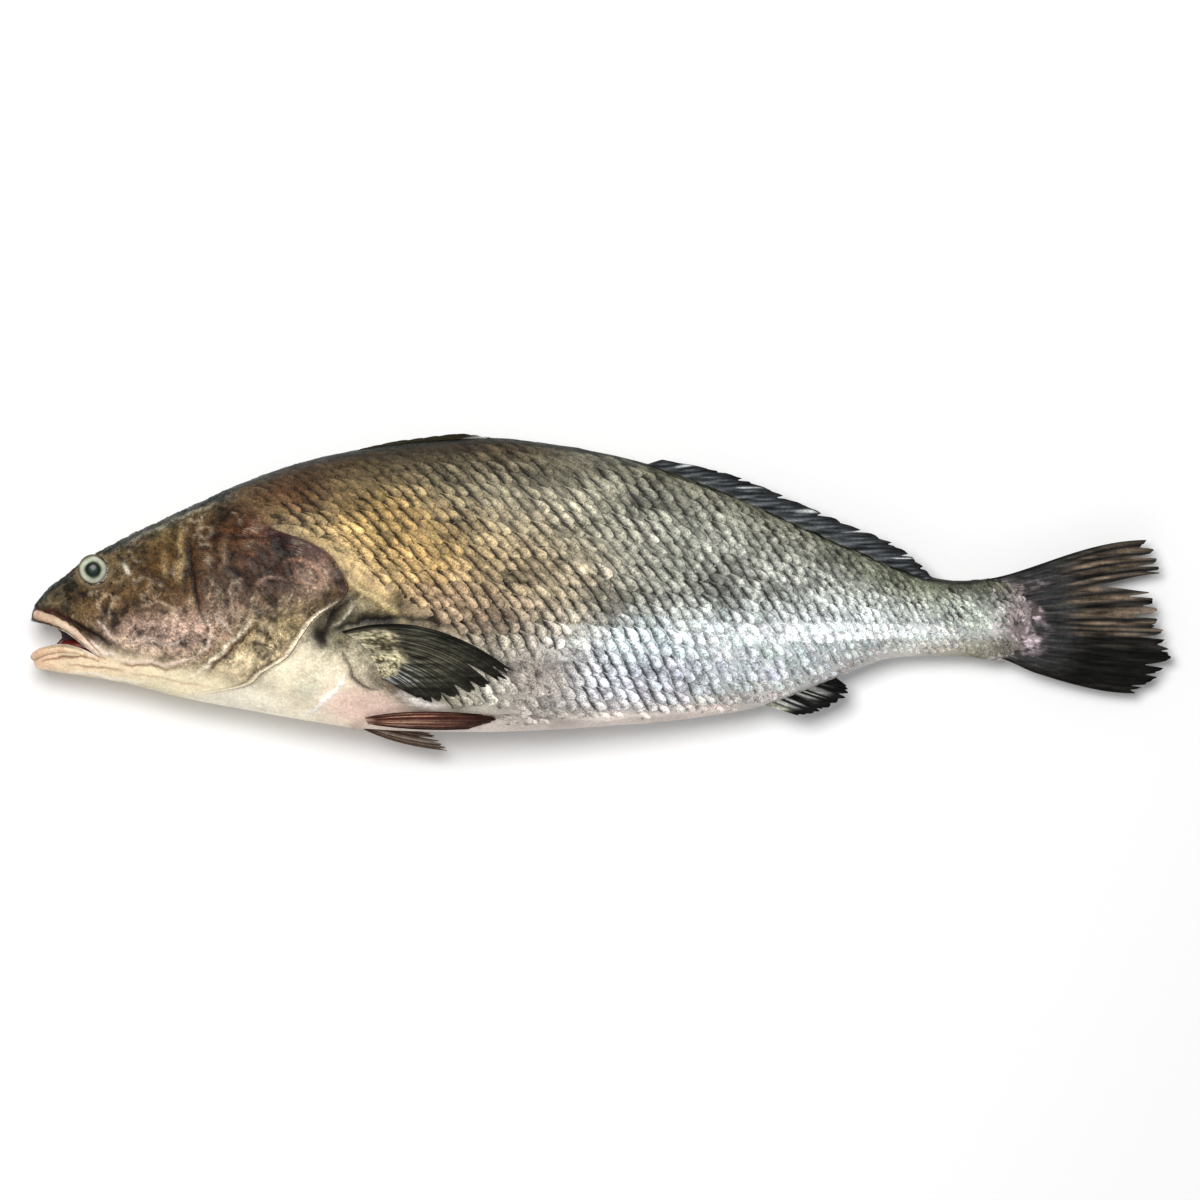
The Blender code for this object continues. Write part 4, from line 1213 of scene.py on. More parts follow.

# %% [markdown]
# Each scale is a small curved plate whose front is under the skin and whose rounded rear edge stands
# proud, so it casts a true shadow. Its colour is its place's own colour, a little lighter or darker
# than its neighbour's, with painted light and shade over it: painted shade in the pocket where the
# scale before it covers it and on its sides, a painted highlight on its raised middle, and a thin rim
# of painted shade at its edge. One mesh holds all the plates of a flank.

# %% Plates for the scales
SCALE_COLUMNS = 9
SCALE_LIFT = 0.00125
# Along a scale from its hidden front to its rear edge: place, height share and painted light and shade.
ALONG = np.array([-1.25, -0.70, -0.10, 0.16, 0.40, 0.68, 0.90, 1.0, 0.985])
HEIGHT = np.array([-0.80, -0.50, -0.15, 0.30, 0.80, 1.05, 1.00, 0.60, -0.45])
SCALE_LIGHT_AND_SHADE = np.array([0.12, 0.12, 0.16, 0.36, 1.00, 1.56, 1.54, 0.76, 0.18])


def behind_gills(x, angle, rim):
    """Height and sideways distance of the flank where the scales are seated."""
    y, side = skin(x, angle)
    return y, side + keep_apart(sunk(x, rim, flap_share(y)), side)


def scale_grid():
    """Points, normals, places across and sizes of every plate of one flank."""
    v = np.linspace(-1, 1, SCALE_COLUMNS)
    v = np.sign(v) * np.abs(v) ** 0.85
    count = len(SCALE_X)
    size = scale_size(SCALE_X) * rng.uniform(0.92, 1.10, count)
    blunt = rng.uniform(0.42, 0.80, count)
    tip = (1 - np.abs(v)[None] ** 2.6) ** blunt[:, None] + rng.normal(0, 0.035, (count, SCALE_COLUMNS))
    front = ALONG < 0
    local_x = np.where(front[None, :, None], ALONG[None, :, None], ALONG[None, :, None] * tip[:, None])
    along = local_x * (PITCH_ALONG * 1.04 * size)[:, None, None]
    round_it = np.broadcast_to(v, local_x.shape) * (PITCH_ROUND * 0.66 * size)[:, None, None]
    skew = -1.0 * lean_of(SCALE_W, SCALE_X) + rng.normal(0, 0.10, count)
    along = along + skew[:, None, None] * round_it
    x = SCALE_X[:, None, None] + along
    w = SCALE_W[:, None, None] + round_it
    angle = flank_angle(x, w)
    rim = np.broadcast_to(SCALE_RIM[:, None, None], x.shape)
    points = np.stack([x, *behind_gills(x, angle, rim)], -1)
    ahead = np.stack([x + 5e-4, *behind_gills(x + 5e-4, angle, rim)], -1)
    turned = np.stack([x, *behind_gills(x, angle + 0.01, rim)], -1)
    normals = unit(np.cross(ahead - points, turned - points))
    outward = np.sign(normals[..., 2:3] * points[..., 2:3] + normals[..., 1:2] * (points[..., 1:2] - 0.01))
    return points, normals * np.where(outward == 0, 1, outward), v, size


def build_scales(side_name, side):
    """All plates of one flank as one mesh."""
    points, normals, v, size = scale_grid()
    count = len(SCALE_X)
    bold = scale_boldness()
    lift = SCALE_LIFT * size * bold * rng.uniform(0.75, 1.2, count)
    dome = 1 - 0.60 * np.abs(v) ** 2.2
    height = HEIGHT[:, None] * np.where(HEIGHT[:, None] > 0, dome, 1)
    rough = noise(*np.moveaxis(points, -1, 0), 0.0028, 2) * 0.00016
    shingle = 0.20 * v * (HEIGHT[:, None] > 0)
    rise = (height + shingle)[None] * lift[:, None, None] + rough * bold[:, None, None]
    points = points + normals * rise[..., None]
    pearly = smooth_step((SCALE_X - 0.34) / 0.08) * smooth_step((0.010 - SCALE_Y) / 0.02)
    lighter = 1 + rng.uniform(-0.20, 0.20, count) * (1 - 0.4 * pearly)
    colours = trunk_colour(SCALE_X, SCALE_Y) * lighter[:, None]
    colours = colours * (1 + rng.normal(0, 0.024, colours.shape) * (0.3 + 0.7 * pearly)[:, None])
    # Painted light and shade along each scale, with painted shade towards its sides.
    light_shade_and_grain = SCALE_LIGHT_AND_SHADE[:, None] * (1.16 - 0.50 * np.abs(v) ** 2)
    depth = np.clip((0.22 + 0.78 * bold) * rng.uniform(0.80, 1.35, count) * (1.28 - 0.28 * pearly), 0, 1.35)
    light_shade_and_grain = np.clip(1 + (light_shade_and_grain[None] - 1) * depth[:, None, None], 0.1, 2)
    grain = noise(*np.moveaxis(points, -1, 0), 0.0032, 2)
    light_shade_and_grain = light_shade_and_grain * np.clip(1 + 0.50 * grain * (0.5 + 0.5 * bold)[:, None, None], 0.3, 1.8)
    tint = colours[:, None, None, :] * light_shade_and_grain[..., None]
    bright = smooth_step((SCALE_X - 0.26) / 0.12) * smooth_step((0.045 - SCALE_Y) / 0.06)
    silver = (0.15 + 0.85 * bright)[:, None, None] * np.clip(light_shade_and_grain, 0, 1)
    spots = place(points[..., 0], points[..., 1], points[..., 2] * side)
    rows, columns = len(ALONG), SCALE_COLUMNS
    faces = grid_faces(rows, columns)[None] + (np.arange(count) * rows * columns)[:, None, None]
    faces = faces.reshape(-1, 4)
    if side < 0:
        faces = faces[:, ::-1]
    return make_piece(f"scales_{side_name}", spots, faces, SCALE, tint, silver)


for side_name, side in SIDES:
    dress(build_scales(side_name, side))

# %% [markdown]
# A fin is a web of skin on a fan of rays. Each fin is outlined by its base and its tips in the side
# view, and a soft one also by a line past which its rays bend.

# %% Outlines of the fins in mm
TAIL_BASE = [(597, 25.2), (606, 13.5), (609, 0), (606, -13.5), (597, -25.2)]
TAIL_TIPS = [
    (684, 49), (690.5, 41), (693.5, 34), (692, 28.5), (688, 17), (690.5, 8), (692.5, 0),
    (695, -8), (698, -16), (700, -23.5), (696, -31), (687, -39.5), (677, -45),
]
TAIL_ROOT_DEPTH = 0.012
TAIL_FLARE = 1.4
SOFT_DORSAL_BASE = (0.373, 0.545)
SOFT_DORSAL_LENGTHS = [(0, 14), (90, 28), (250, 33), (500, 34), (700, 36), (850, 25), (1000, 8)]
SOFT_DORSAL_RISES = [(0, 6.0), (150, 4.6), (350, 3.2), (600, 3.0), (850, 2.6), (1000, 2.6)]
SPINY_DORSAL_BASE = [(190, 98), (206, 101), (222, 103.5), (238, 105), (256, 106)]
SPINY_DORSAL_TIPS = [(203, 104.8), (222, 109), (243, 112), (264, 114), (282.5, 111.8)]
ANAL_BASE = [(446, -50.5), (456, -46.8), (466, -43), (478, -38.2), (491, -33.4)]
ANAL_TIPS = [(470, -58.6), (480, -57.2), (492, -52), (501, -45.4), (499.5, -40.2)]
PECTORAL_BASE = [(191, -7), (200, -12), (207, -19), (212, -27), (214, -34)]
PECTORAL_BEND = [(243, 10), (246, -8), (243, -24), (236, -35), (221, -38)]
PECTORAL_TIPS = [
    (297, -32.2), (293.5, -37.5), (284, -40.5), (275, -43.6), (265, -46), (255, -48.6),
    (246, -50.4), (237, -47.6), (227, -42),
]
LEFT_PELVIC_BASE = [(205, -59.5), (206, -61.5), (207, -63.5)]
LEFT_PELVIC_BEND = [(232, -53), (240, -60), (236, -68.6)]
LEFT_PELVIC_TIPS = [(280, -57.8), (287.5, -61), (270, -66.6)]
RIGHT_PELVIC_BASE = [(201, -60), (200, -62), (199, -64)]
RIGHT_PELVIC_BEND = [(224, -66), (224, -71), (221, -77)]
RIGHT_PELVIC_TIPS = [(247, -69.5), (251, -74), (257, -80.2)]
BLADE_LIFT = 0.0005
print("tail spreads", round(TAIL_TIPS[0][1] - TAIL_TIPS[-1][1], 1), "mm")

# %% [markdown]
# One function for each fin says where a point of its blade lies, for v across the rays and t from the
# base to the tips. Back, tail and anal fins stand in the middle plane. Breast fins and the left belly
# fin follow the flank that they lie on.

# %% Where the points of each blade lie
def across(points):
    """A function of v, from 0 to 1, that runs smoothly through side view points."""
    spots = [1000 * i / (len(points) - 1) for i in range(len(points))]
    xs = curve(list(zip(spots, [p[0] for p in points])))
    ys = curve(list(zip(spots, [p[1] for p in points])))
    return lambda v: (xs(v), ys(v))


def bent_blade(base, bend, tips, v, t):
    """Points of a blade whose rays start at the base, bend and end at the tips."""
    ends = zip(across(base)(v), across(bend)(v), across(tips)(v))
    return tuple((1 - t) ** 2 * a + 2 * t * (1 - t) * b + t * t * c for a, b, c in ends)


def straight_blade(base, tips, v, t, curl=1):
    """Points of a blade whose rays run straight from the base to the tips."""
    start, end = across(base)(v), across(tips)(v)
    return start[0] + (end[0] - start[0]) * t, start[1] + (end[1] - start[1]) * t**curl


def tail_point(v, t):
    base, tip = across(TAIL_BASE)(v), across(TAIL_TIPS)(v)
    x = base[0] - TAIL_ROOT_DEPTH + (tip[0] - base[0] + TAIL_ROOT_DEPTH) * t
    tucked = base[1] * (1 - 0.16 * (base[1] < 0) * (1 - smooth_step(t / 0.35)))
    y = tucked + (tip[1] - base[1]) * np.sin(np.pi * np.clip(t, 0, 1) / 2) ** TAIL_FLARE
    return x, y, middle_z(x) + 0.0011 * np.sin(9 * v + 2.5 * t) * t


def soft_dorsal_point(v, t):
    x = SOFT_DORSAL_BASE[0] + (SOFT_DORSAL_BASE[1] - SOFT_DORSAL_BASE[0]) * v
    length = curve(SOFT_DORSAL_LENGTHS)(v)
    y = back_y(x) - 0.003 + curve(SOFT_DORSAL_RISES)(v) * t - 0.0012 * t * t
    lean = 0.0030 * np.sin(np.pi * t * 0.5) + 0.0008 * np.sin(40 * v)
    return x + length * t, y, middle_z(x + length * t) + lean


def spiny_dorsal_point(v, t):
    x, y = straight_blade(SPINY_DORSAL_BASE, SPINY_DORSAL_TIPS, v, t)
    return x, y, middle_z(x) + 0.0012


def anal_point(v, t):
    x, y = straight_blade(ANAL_BASE, ANAL_TIPS, v, t, 0.9)
    return x, y, middle_z(x) + 0.0012 * np.sin(12 * v) * t


def pectoral_point(side):
    def point(v, t):
        x, y = bent_blade(PECTORAL_BASE, PECTORAL_BEND, PECTORAL_TIPS, v, t)
        reach = flank_reach(x, y) - FLAP_SINK * (1 - t) + BLADE_LIFT * t
        return x, y, settle(middle_z(x) + side * reach)

    return point


def left_pelvic_point(v, t):
    x, y = bent_blade(LEFT_PELVIC_BASE, LEFT_PELVIC_BEND, LEFT_PELVIC_TIPS, v, t)
    return x, y, middle_z(x) + flank_reach(x, np.maximum(y, belly_y(x) + 0.0015))


def right_pelvic_point(v, t):
    x, y = bent_blade(RIGHT_PELVIC_BASE, RIGHT_PELVIC_BEND, RIGHT_PELVIC_TIPS, v, t)
    return x, y, middle_z(x) - 0.004 - 0.012 * t


print("left belly fin starts at", [round(float(c) * 1000, 1) for c in left_pelvic_point(0.5, 0.0)], "mm")

# %% [markdown]
# Each ray is a ridge that splits in two and then in four towards its tip, and the web is thin and torn
# back between the tips. One builder makes all fins from their point and colour functions, as a closed
# blade that is thick at the rays and thin between them.

# %% One builder for all fins
def ray_ridges(v, t, rays):
    """Height of the rays over the web, 0 to 1: one ridge a ray, then two, then four."""
    phase = v * (rays - 1)
    one = np.abs(np.cos(np.pi * phase)) ** 4
    two = np.abs(np.cos(2 * np.pi * phase + 0.6)) ** 3
    four = np.abs(np.cos(4 * np.pi * phase)) ** 2
    first = smooth_step((t - 0.30) / 0.25)
    second = smooth_step((t - 0.62) / 0.25)
    return one * (1 - first) + (two * (1 - second) + four * second) * first


def fin_reach(v1, rays, frill, tears, draws):
    """How far each line of the blade reaches: pointed at the rays, torn back between them."""
    phase = v1 * (rays - 1)
    between = 1 - np.abs(np.cos(np.pi * phase))
    reach = np.interp(phase, np.arange(rays), 1 - draws.uniform(0, 0.03, rays))
    webs = draws.uniform(0.3, 1.7, rays) * frill
    reach -= between**0.7 * webs[np.minimum(phase.astype(int), rays - 1)]
    reach -= frill * 0.30 * np.abs(np.sin(2 * np.pi * phase + 1)) * draws.uniform(0.3, 1, len(v1))
    for spot, depth, half_gap in tears:
        reach -= depth * np.clip(1 - np.abs(v1 - spot) / half_gap, 0, 1) ** 0.8
    return np.clip(reach, 0.1, 1)


def build_fin(name, point, rays, thick, colour, tears=(), frill=0.08, rows=34, per_ray=9, root=None, seed=1):
    """A closed blade. thick is (base, tip), and root is how deep its underside is sunk, with its side."""
    draws = np.random.default_rng(seed)
    v1 = np.linspace(0, 1, (rays - 1) * per_ray + 1)
    t1 = np.linspace(0, 1, rows + 1)
    v, t = np.meshgrid(v1, t1, indexing="ij")
    t = t * fin_reach(v1, rays, frill, tears, draws)[:, None]
    x, y, z = point(v, t)
    ridges = ray_ridges(v, t, rays)
    half = (thick[0] + (thick[1] - thick[0]) * t) / 2 * (0.42 + 0.58 * ridges)
    half = half * np.where(t1[None] > 0.985, 0.35, 1)
    ripple = noise(x, y, z, 0.006, 2, (2.5, 0.5, 1)) * 0.00025 * t
    sign = 1 if root is None or root > 0 else -1
    upper = np.stack([x - TOTAL_LENGTH / 2, y + AXIS_Y, z + (half + ripple) * sign], -1)
    under = half - ripple if root is None else np.full_like(z, abs(root))
    lower = np.stack([x - TOTAL_LENGTH / 2, y + AXIS_Y, z - under * sign], -1)
    points = np.concatenate([upper.reshape(-1, 3), lower.reshape(-1, 3)])
    points[:, 2] = np.maximum(points[:, 2], 0.00012)
    faces = slab_faces(len(v1), rows + 1)
    grain = noise(x, y, z, 0.004, 3, (4, 0.4, 1))
    drift = noise(v * 0.4, t * 0.02, 0 * v, 0.05, 2)
    spine = np.abs(np.cos(np.pi * (v * (rays - 1) + 0.55 * drift)))
    tint = colour(v, t, ridges, spine, grain)
    piece = make_piece(name, points, faces, FIN, np.concatenate([tint, tint]).reshape(-1, 3))
    turn_outwards(piece)
    dress(piece)
    return piece


def paint(v, base):
    return np.broadcast_to(linear(base), v.shape + (3,)).copy()


def grained(colours, grain, amount, low=0.3, high=2.0):
    """Colours made lighter and darker by a grain along the rays."""
    return colours * np.clip(1 + grain * amount, low, high)[..., None]


print("fin builder ready")

# %% [markdown]
# The tail is slate grey with tan rays above, and nearly black below. Its web is torn through at one
# place and feathered at the others. The scaly root of the tail shows lilac through its thin skin.

# %% The tail fin
def tail_colour(v, t, ridges, spine, grain):
    outer = smooth_step((t - 0.34) / 0.22)
    upper = 1 - smooth_step((v - 0.52) / 0.24)
    flecks = noise(v * 0.07, t * 0.095, 0 * v, 0.0028, 2)
    patches = noise(v * 0.07, t * 0.095, 0 * v, 0.010, 2)
    bands = np.clip(0.80 + 0.9 * noise(v * 0.07, t * 0.03, 0 * v, 0.007, 2), 0.25, 1)
    colours = blend(paint(v, (46, 47, 48)), (84, 80, 76), ridges * 0.40)
    colours = blend(colours, (116, 98, 78), spine**1.7 * outer * (0.22 + 0.70 * upper) * 0.74 * bands)
    colours = blend(colours, (16, 13, 11), (1 - spine**0.8) * outer * 0.97)
    colours = blend(colours, (8, 9, 7), (1 - upper) * smooth_step((t - 0.22) / 0.35) * 0.94)
    colours = blend(colours, (22, 24, 20), np.exp(-((v / 0.035) ** 2)) * 0.85)
    colours = blend(colours, (24, 21, 17), np.exp(-(((1 - v) / 0.06) ** 2)) * 0.8)
    streaks = noise(v * 0.10, t * 0.012, 0 * v, 0.0024, 2)
    colours = colours * np.clip(1 + streaks * 0.9 * outer, 0.3, 1.9)[..., None]
    root = (1 - smooth_step((t - 0.12 - 0.10 * patches) / 0.12)) * np.exp(-(((v - 0.50) / 0.36) ** 4))
    colours = blend(colours, (108, 96, 96), root * 0.85)
    lilac = root * smooth_step((flecks - 0.06 + 0.3 * patches) / 0.3)
    colours = blend(colours, (216, 200, 206), lilac * 0.85)
    return grained(colours, grain, 0.70, high=2.1)


# Each tear is its place across the fin, its depth and its half width, all as shares.
TAIL_TEARS = [
    (0.292, 0.33, 0.040), (0.352, 0.15, 0.010), (0.045, 0.05, 0.010), (0.105, 0.13, 0.012),
    (0.175, 0.15, 0.012), (0.235, 0.08, 0.010), (0.41, 0.07, 0.010), (0.475, 0.14, 0.014),
    (0.55, 0.06, 0.010), (0.61, 0.15, 0.013), (0.70, 0.05, 0.010), (0.80, 0.13, 0.016), (0.86, 0.07, 0.010),
    (0.93, 0.10, 0.010),
]
build_fin(
    "tail_fin", tail_point, rays=17, thick=(0.0052, 0.0011), colour=tail_colour, tears=TAIL_TEARS,
    frill=0.045, rows=72, per_ray=12, seed=3,
)

# %% [markdown]
# The rear back fin lies folded towards the tail, dark slate with pale slivers where the web parts.
# The front one is pressed down into its groove and shows only as a dark ridge with a pale tip. The
# anal fin is nearly black, with a few pale streaks by its root.

# %% Back fins and anal fin
def soft_dorsal_colour(v, t, ridges, spine, grain):
    colours = blend(paint(v, (42, 45, 48)), (112, 117, 121), ridges * 0.55)
    colours = blend(colours, (12, 13, 14), smooth_step((t - 0.50) / 0.35) * 0.80)
    places = np.clip(np.sin(v * 33) - 0.65, 0, 1) * 2.6
    sliver = places * spine**14 * smooth_step((t - 0.50) / 0.1) * smooth_step((0.97 - t) / 0.1)
    colours = blend(colours, (226, 230, 230), sliver * 0.9)
    colours = blend(colours, (104, 107, 98), (1 - smooth_step(t / 0.32)) * 0.65)
    return grained(colours, grain, 0.75)


def spiny_dorsal_colour(v, t, ridges, spine, grain):
    colours = blend(paint(v, (30, 28, 18)), (66, 58, 38), ridges * 0.5)
    tip = smooth_step((v - 0.84) / 0.1) * smooth_step((t - 0.45) / 0.3)
    return grained(blend(colours, (170, 172, 166), tip * 0.8), grain, 0.4, 0.4, 1.6)


def anal_colour(v, t, ridges, spine, grain):
    colours = blend(paint(v, (8, 8, 8)), (36, 36, 34), ridges * 0.4)
    streak = spine**7 * (1 - smooth_step((t - 0.35) / 0.40))
    colours = blend(colours, (206, 208, 202), streak * 0.55 * smooth_step((0.85 - v) / 0.3))
    front = np.exp(-((v / 0.10) ** 2)) * (1 - smooth_step((t - 0.5) / 0.3))
    colours = blend(colours, (190, 190, 170), front * 0.7)
    return grained(colours, grain, 0.6, high=1.9)


DORSAL_TEARS = [
    (0.12, 0.10, 0.010), (0.19, 0.16, 0.012), (0.33, 0.18, 0.010), (0.47, 0.12, 0.014), (0.60, 0.20, 0.010),
    (0.70, 0.10, 0.012), (0.79, 0.20, 0.010), (0.90, 0.14, 0.012),
]
ANAL_TEARS = [(0.35, 0.12, 0.02), (0.7, 0.15, 0.02)]
build_fin(
    "soft_dorsal", soft_dorsal_point, rays=17, thick=(0.0034, 0.0013), colour=soft_dorsal_colour,
    tears=DORSAL_TEARS, frill=0.05, rows=24, per_ray=12, seed=5,
)
build_fin(
    "spiny_dorsal", spiny_dorsal_point, rays=10, thick=(0.0056, 0.0030), colour=spiny_dorsal_colour,
    frill=0.05, rows=12, per_ray=8, seed=6,
)
build_fin(
    "anal_fin", anal_point, rays=10, thick=(0.0036, 0.0013), colour=anal_colour, tears=ANAL_TEARS,
    frill=0.08, rows=26, per_ray=12, seed=7,
)

# %% [markdown]
# The paired fins lie against the flank. The breast fin is nearly black, with a cream fleshy root and
# fine grey rays, and the belly fins are red brown. All but the right belly fin have an underside sunk
# in the flank, because a wet fin clings to the skin.

# %% Breast and belly fins
def pectoral_colour(v, t, ridges, spine, grain):
    colours = blend(paint(v, (34, 33, 26)), (104, 100, 82), ridges * 0.55 * (1 - 0.5 * t))
    # Thin painted glints along the rays.
    colours = blend(colours, (132, 130, 116), spine**10 * smooth_step((t - 0.2) / 0.2) * (1 - 0.8 * t) * 0.5)
    colours = blend(colours, (13, 13, 11), smooth_step((t - 0.62) / 0.3) * 0.75)
    colours = blend(colours, (16, 14, 11), np.exp(-((v / 0.07) ** 2)) * 0.9)
    low = smooth_step((v - 0.45) / 0.35) * (1 - smooth_step((t - 0.38) / 0.35))
    colours = blend(colours, (196, 200, 200), low * spine**5 * smooth_step((t - 0.14) / 0.1) * 0.7)
    patch = noise(v * 0.05, t * 0.05, 0 * v, 0.008, 3)
    reach = 0.17 + 0.09 * np.sin(np.pi * v) + 0.05 * patch
    root = (1 - smooth_step((t - reach) / 0.10)) * smooth_step((v - 0.05) / 0.10)
    flecks = noise(v * 0.05, t * 0.08, 0 * v, 0.0019, 2)
    colours = blend(colours, (126, 118, 92), root * 0.90)
    colours = blend(colours, (188, 180, 152), root * smooth_step((0.4 * patch + flecks + 0.02) / 0.35) * 0.80)
    colours = blend(colours, (64, 58, 42), root * smooth_step((-0.14 - 0.4 * patch - flecks) / 0.22) * 0.85)
    colours = blend(colours, (206, 198, 172), root * smooth_step((0.05 - t) / 0.05) * 0.7)
    return grained(colours, grain, 0.80)


def pelvic_colour(v, t, ridges, spine, grain):
    colours = blend(paint(v, (80, 44, 35)), (150, 108, 88), spine**3 * 0.5)
    # Painted highlight streaks along the rays.
    streak = spine**8 * smooth_step((t - 0.08) / 0.15) * smooth_step((0.75 - t) / 0.3)
    colours = blend(colours, (196, 160, 138), streak * 0.7)
    edges = np.exp(-((v / 0.10) ** 2)) * 0.9 + np.exp(-(((1 - v) / 0.10) ** 2)) * 0.8
    colours = blend(colours, (30, 17, 14), edges)
    colours = blend(colours, (40, 24, 19), smooth_step((t - 0.60) / 0.3) * 0.75)
    colours = blend(colours, (214, 180, 160), (1 - smooth_step(t / 0.10)) * 0.6)
    return grained(colours, grain, 0.6, high=1.9)


def right_pelvic_colour(v, t, ridges, spine, grain):
    """Greyer than the left one, because light comes through it."""
    colours = pelvic_colour(v, t, ridges, spine, grain)
    colours = blend(colours, (108, 92, 80), np.full(v.shape, 0.55))
    return blend(colours, (206, 196, 184), spine**6 * smooth_step((t - 0.15) / 0.2) * 0.55)


PECTORAL_TEARS = [
    (0.10, 0.07, 0.02), (0.22, 0.17, 0.03), (0.36, 0.09, 0.025), (0.48, 0.14, 0.03), (0.62, 0.12, 0.03),
    (0.72, 0.08, 0.02), (0.82, 0.08, 0.02),
]
for side_name, side in SIDES:
    build_fin(
        f"{side_name}_pectoral", pectoral_point(side), rays=17, thick=(0.0041, 0.0024),
        colour=pectoral_colour, tears=PECTORAL_TEARS, frill=0.035, rows=64, per_ray=9,
        root=0.0030 * side, seed=8,
    )
build_fin(
    "left_pelvic", left_pelvic_point, rays=7, thick=(0.0050, 0.0026), colour=pelvic_colour, frill=0.02,
    rows=34, per_ray=14, root=0.0030, seed=9,
)
build_fin(
    "right_pelvic", right_pelvic_point, rays=7, thick=(0.0050, 0.0020), colour=right_pelvic_colour,
    tears=[(0.4, 0.16, 0.08)], frill=0.05, rows=30, per_ray=14, seed=10,
)

# %% [markdown]
# The lips are soft round bands that run from one corner of the mouth round the snout to the other.
# A tube along a path does this well. Its surface gets fine creases, and its colour runs from orange
# pink at the front to cream at the corners.

# %% Lips
UPPER_LIP = [(4.4, 3.0), (15, -0.3), (26.3, -6.4), (34.8, -13.4), (43.2, -21)]
LOWER_LIP = [(2.8, -22.6), (9.2, -19.9), (21.4, -18.0), (33.6, -20.2), (43, -24.2)]
LIP_INSET = 0.90
LIP_ROWS = 121
LIP_SIDES = 24
LIP_TURN = 0.12


def lip_path(points):
    """Points round the snout from the right corner of the mouth to the left one."""
    share = np.linspace(-1, 1, LIP_ROWS)
    near, far = points[0][0] * MM, points[-1][0] * MM
    x = near + (far - near) * share**2
    y = curve(points)(x)
    side = flank_reach(x, y) * LIP_INSET * np.sign(share)
    turn = np.abs(share) < LIP_TURN
    side = np.where(turn, share / LIP_TURN * np.interp(LIP_TURN, share, side), side)
    return np.stack([x, y, side], -1), share


def build_lip(name, points, radius, tones):
    """A tube along a lip's path. tones are its front, its corners, its creases and the painted shade along
    its edges above and below.
    """
    path, share = lip_path(points)
    ahead = unit(np.gradient(path, axis=0))
    side = unit(np.cross(ahead, np.broadcast_to((0, 0.35, 1.0), ahead.shape)))
    up = np.cross(side, ahead)
    turn = np.linspace(0, 2 * np.pi, LIP_SIDES, endpoint=False)
    thick = radius * (1 - 0.25 * np.abs(share) ** 3)
    ring = np.cos(turn)[None, :, None] * side[:, None] * 0.9 + np.sin(turn)[None, :, None] * up[:, None]
    lip_x, lip_y = path[:, None, 0] + 0 * turn, path[:, None, 1] + 0 * turn
    crease = noise(lip_x, lip_y, thick[:, None] * turn, 0.004, 3, (0.6, 0.6, 2))
    spots = path[:, None] + ring * (thick[:, None] * (1 + 0.12 * crease))[..., None]
    colours = np.broadcast_to(linear(tones[0]), spots.shape).copy()
    corner = smooth_step((np.abs(share) - 0.3) / 0.5)[:, None]
    colours = blend(colours, tones[1], np.broadcast_to(corner, crease.shape))
    colours = blend(colours, tones[2], smooth_step((crease - 0.05) / 0.5) * 0.55)
    # Painted shade along the lip's edges above and below.
    under = np.broadcast_to((1 - np.abs(np.sin(turn))) ** 1.6, crease.shape)
    colours = blend(colours, tones[3], under * 0.85)
    spots = place(spots[..., 0], spots[..., 1], spots[..., 2])
    caps = (range(LIP_SIDES), range((LIP_ROWS - 1) * LIP_SIDES, LIP_ROWS * LIP_SIDES))
    piece = make_piece(name, spots, grid_faces(LIP_ROWS, LIP_SIDES, True), LIP, colours, caps=caps)
    turn_outwards(piece)
    dress(piece)


build_lip("upper_lip", UPPER_LIP, 0.0033, ((206, 176, 146), (224, 200, 174), (192, 148, 122), (104, 50, 40)))
build_lip("lower_lip", LOWER_LIP, 0.0027, ((216, 180, 146), (232, 206, 170), (192, 146, 116), (138, 88, 66)))

# %% [markdown]
# Small teeth stand in a row behind the upper lip, and the tongue lies on the floor of the mouth. Both
# are hardly seen, but without them the open mouth would look like a cut.

# %% Tongue and teeth
TONGUE_CENTRE = (0.041, -0.0165)
TONGUE_HALF = (0.024, 0.0065, 0.0085)
TEETH = 26
TEETH_SPREAD = 0.86
LONG_TOOTH = 0.0022
SHORT_TOOTH = 0.0015
TOOTH_RADII = (0.00045, 0.00008)


def build_tongue():
    piece = ball("tongue", (*TONGUE_CENTRE, HEAD_MIDDLE), TONGUE_HALF, FLESH, 64)
    for vertex in piece.data.vertices:
        x, y, z = vertex.co
        vertex.co.y += 0.0008 * float(noise(np.array(x), np.array(y), np.array(z), 0.006, 2))
    dress(piece)


def build_teeth():
    """Small cones in a row, every third one longer, pointing down from behind the upper lip."""
    path, shares = lip_path(UPPER_LIP)
    bm = bmesh.new()
    for i in range(TEETH):
        share = -TEETH_SPREAD + 2 * TEETH_SPREAD * i / (TEETH - 1)
        spot = [np.interp(share, shares, path[:, k]) for k in range(3)]
        height = LONG_TOOTH if i % 3 == 1 else SHORT_TOOTH
        root = place(np.array(spot[0] + 0.0016), np.array(spot[1] - 0.0026), np.array(spot[2] * 0.90))
        made = bmesh.ops.create_cone(
            bm, segments=10, radius1=TOOTH_RADII[0], radius2=TOOTH_RADII[1], depth=height, cap_ends=True
        )
        for vertex in made["verts"]:
            x, y, z = vertex.co
            vertex.co = (root[0] + x, root[1] - z - height / 2, root[2] + y)
    mesh = bpy.data.meshes.new("teeth")
    bmesh.ops.recalc_face_normals(bm, faces=bm.faces)
    bm.to_mesh(mesh)
    bm.free()
    mesh.materials.append(TOOTH)
    mesh.shade_smooth()
    piece = bpy.data.objects.new("teeth", mesh)
    bpy.context.scene.collection.objects.link(piece)
    dress(piece)


build_tongue()
build_teeth()
